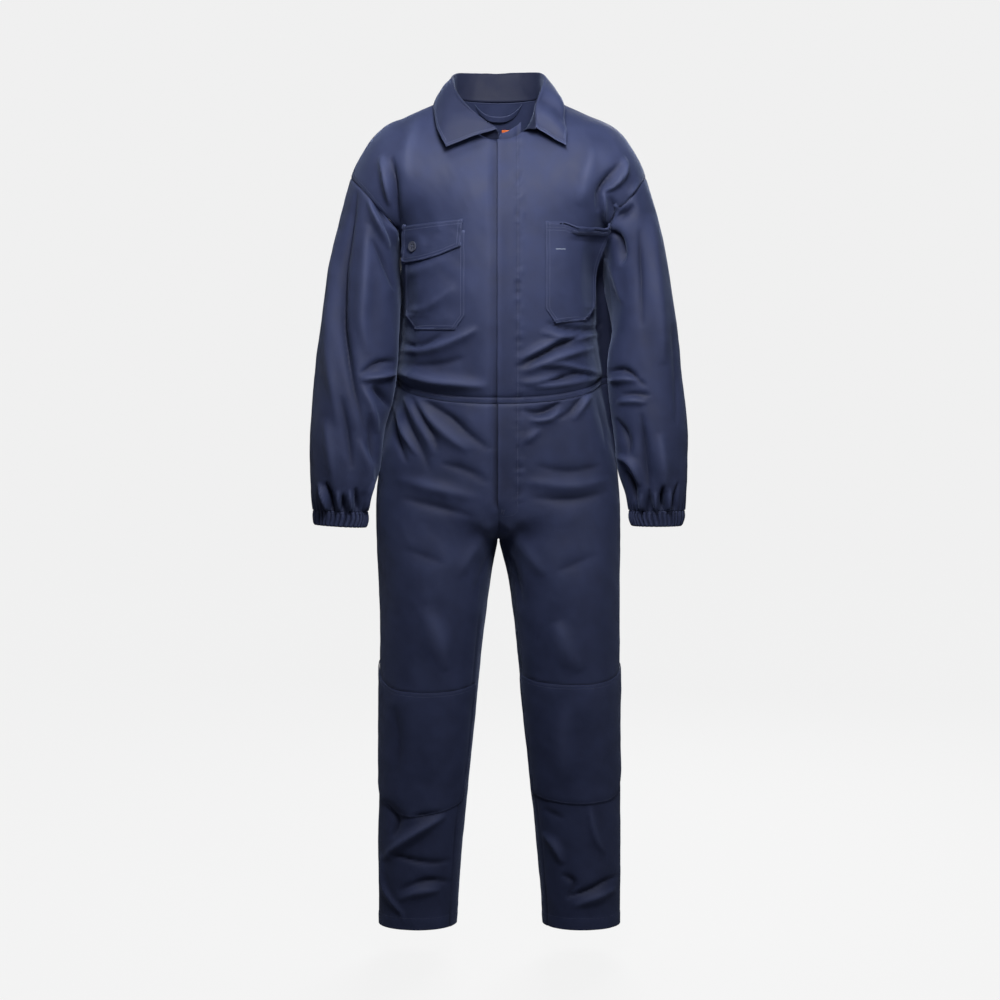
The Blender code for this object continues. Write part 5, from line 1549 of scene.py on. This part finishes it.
for name, (way, under) in held.items():
    piece = bpy.data.objects[name + "_cloth"]
    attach(piece, "root")
    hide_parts(name)
    grid = sheets[name if name in sheets else name + "_cloth"]["grid"]
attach(disc, "root")
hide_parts("pocket_button")
for name in threads:
    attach(bpy.data.objects[name + "_stitches"], "root")

# ---- studio
floorMade, nodes, links, shader = shaderOf("studioPaper")
setSockets(shader, {"Base Color": (0.004, 0.004, 0.004, 1), "Roughness": 0.9,
                    "Emission Color": (1, 1, 1, 1), "Emission Strength": 0.868})
sweep = {"radius": 9.0, "floor": -1.63, "round": 2.5, "top": 9.0, "around": 96}
profile = [(0.0, sweep["floor"])]
for angle in np.linspace(0, math.pi / 2, 16):
    profile.append((sweep["radius"] - sweep["round"] * (1 - math.sin(angle)),
                    sweep["floor"] + sweep["round"] * (1 - math.cos(angle))))
profile.append((sweep["radius"], sweep["top"]))
mesh = bpy.data.meshes.new("studio_sweep")
turns = np.arange(sweep["around"]) * 2 * math.pi / sweep["around"]
points = [(out * math.cos(turn), out * math.sin(turn), z) for out, z in profile for turn in turns]
faces = []
for k in range(len(profile) - 1):
    for c in range(sweep["around"]):
        n = (c + 1) % sweep["around"]
        a, b = k * sweep["around"], (k + 1) * sweep["around"]
        faces.append((a + c, b + c, b + n, a + n) if k else (a, b + c, b + n))
mesh.from_pydata(points, [], faces)
mesh.materials.append(floorMade)
mesh.shade_smooth()
paper = placed("studio_sweep", mesh)
paper.visible_diffuse = paper.visible_glossy = False

world = bpy.data.worlds.new("studio")
world.use_nodes = True
setSockets(world.node_tree.nodes["Background"], {"Color": (0.93, 0.96, 1.0, 1), "Strength": 0.1})
bpy.context.scene.world = world


def lamp(name, place, height, size, power):
    made = bpy.data.lights.new(name, "AREA")
    made.shape, made.size, made.size_y = "RECTANGLE", size[0], size[1]
    made.energy = power
    thing = placed(name, made)
    thing.location = place
    thing.rotation_euler = (Vector((0, 0, height)) - Vector(place)).to_track_quat("-Z", "Y").to_euler()


# name, place, height aimed at on the suit's axis, width and height, watts
lamps = [
    ("key", (0.11, -1.05, 0.36), -0.2, (0.42, 0.42), 19.5),
    ("top", (-0.25, -0.75, 1.0), -0.2, (0.5, 0.4), 6),
    ("fill", (2.1, -1.6, -0.4), -0.6, (0.8, 1.6), 7),
    ("rim", (-2.1, 0.4, 0.1), -0.5, (0.8, 1.8), 4),
    ("behind", (0.5, 2.6, 0.5), -0.55, (1.4, 2.0), 55),
]
for row in lamps:
    lamp(*row)

view = bpy.data.cameras.new("camera")
view.lens, view.sensor_width = camera["lens"], camera["sensor"]
watcher = placed("camera", view)
watcher.location = (camera["x"], -camera["away"], camera["height"])
watcher.rotation_euler = (math.radians(90 - camera["tiltDown"]), 0, 0)
bpy.context.scene.camera = watcher
bpy.context.scene.view_settings.view_transform = "Standard"
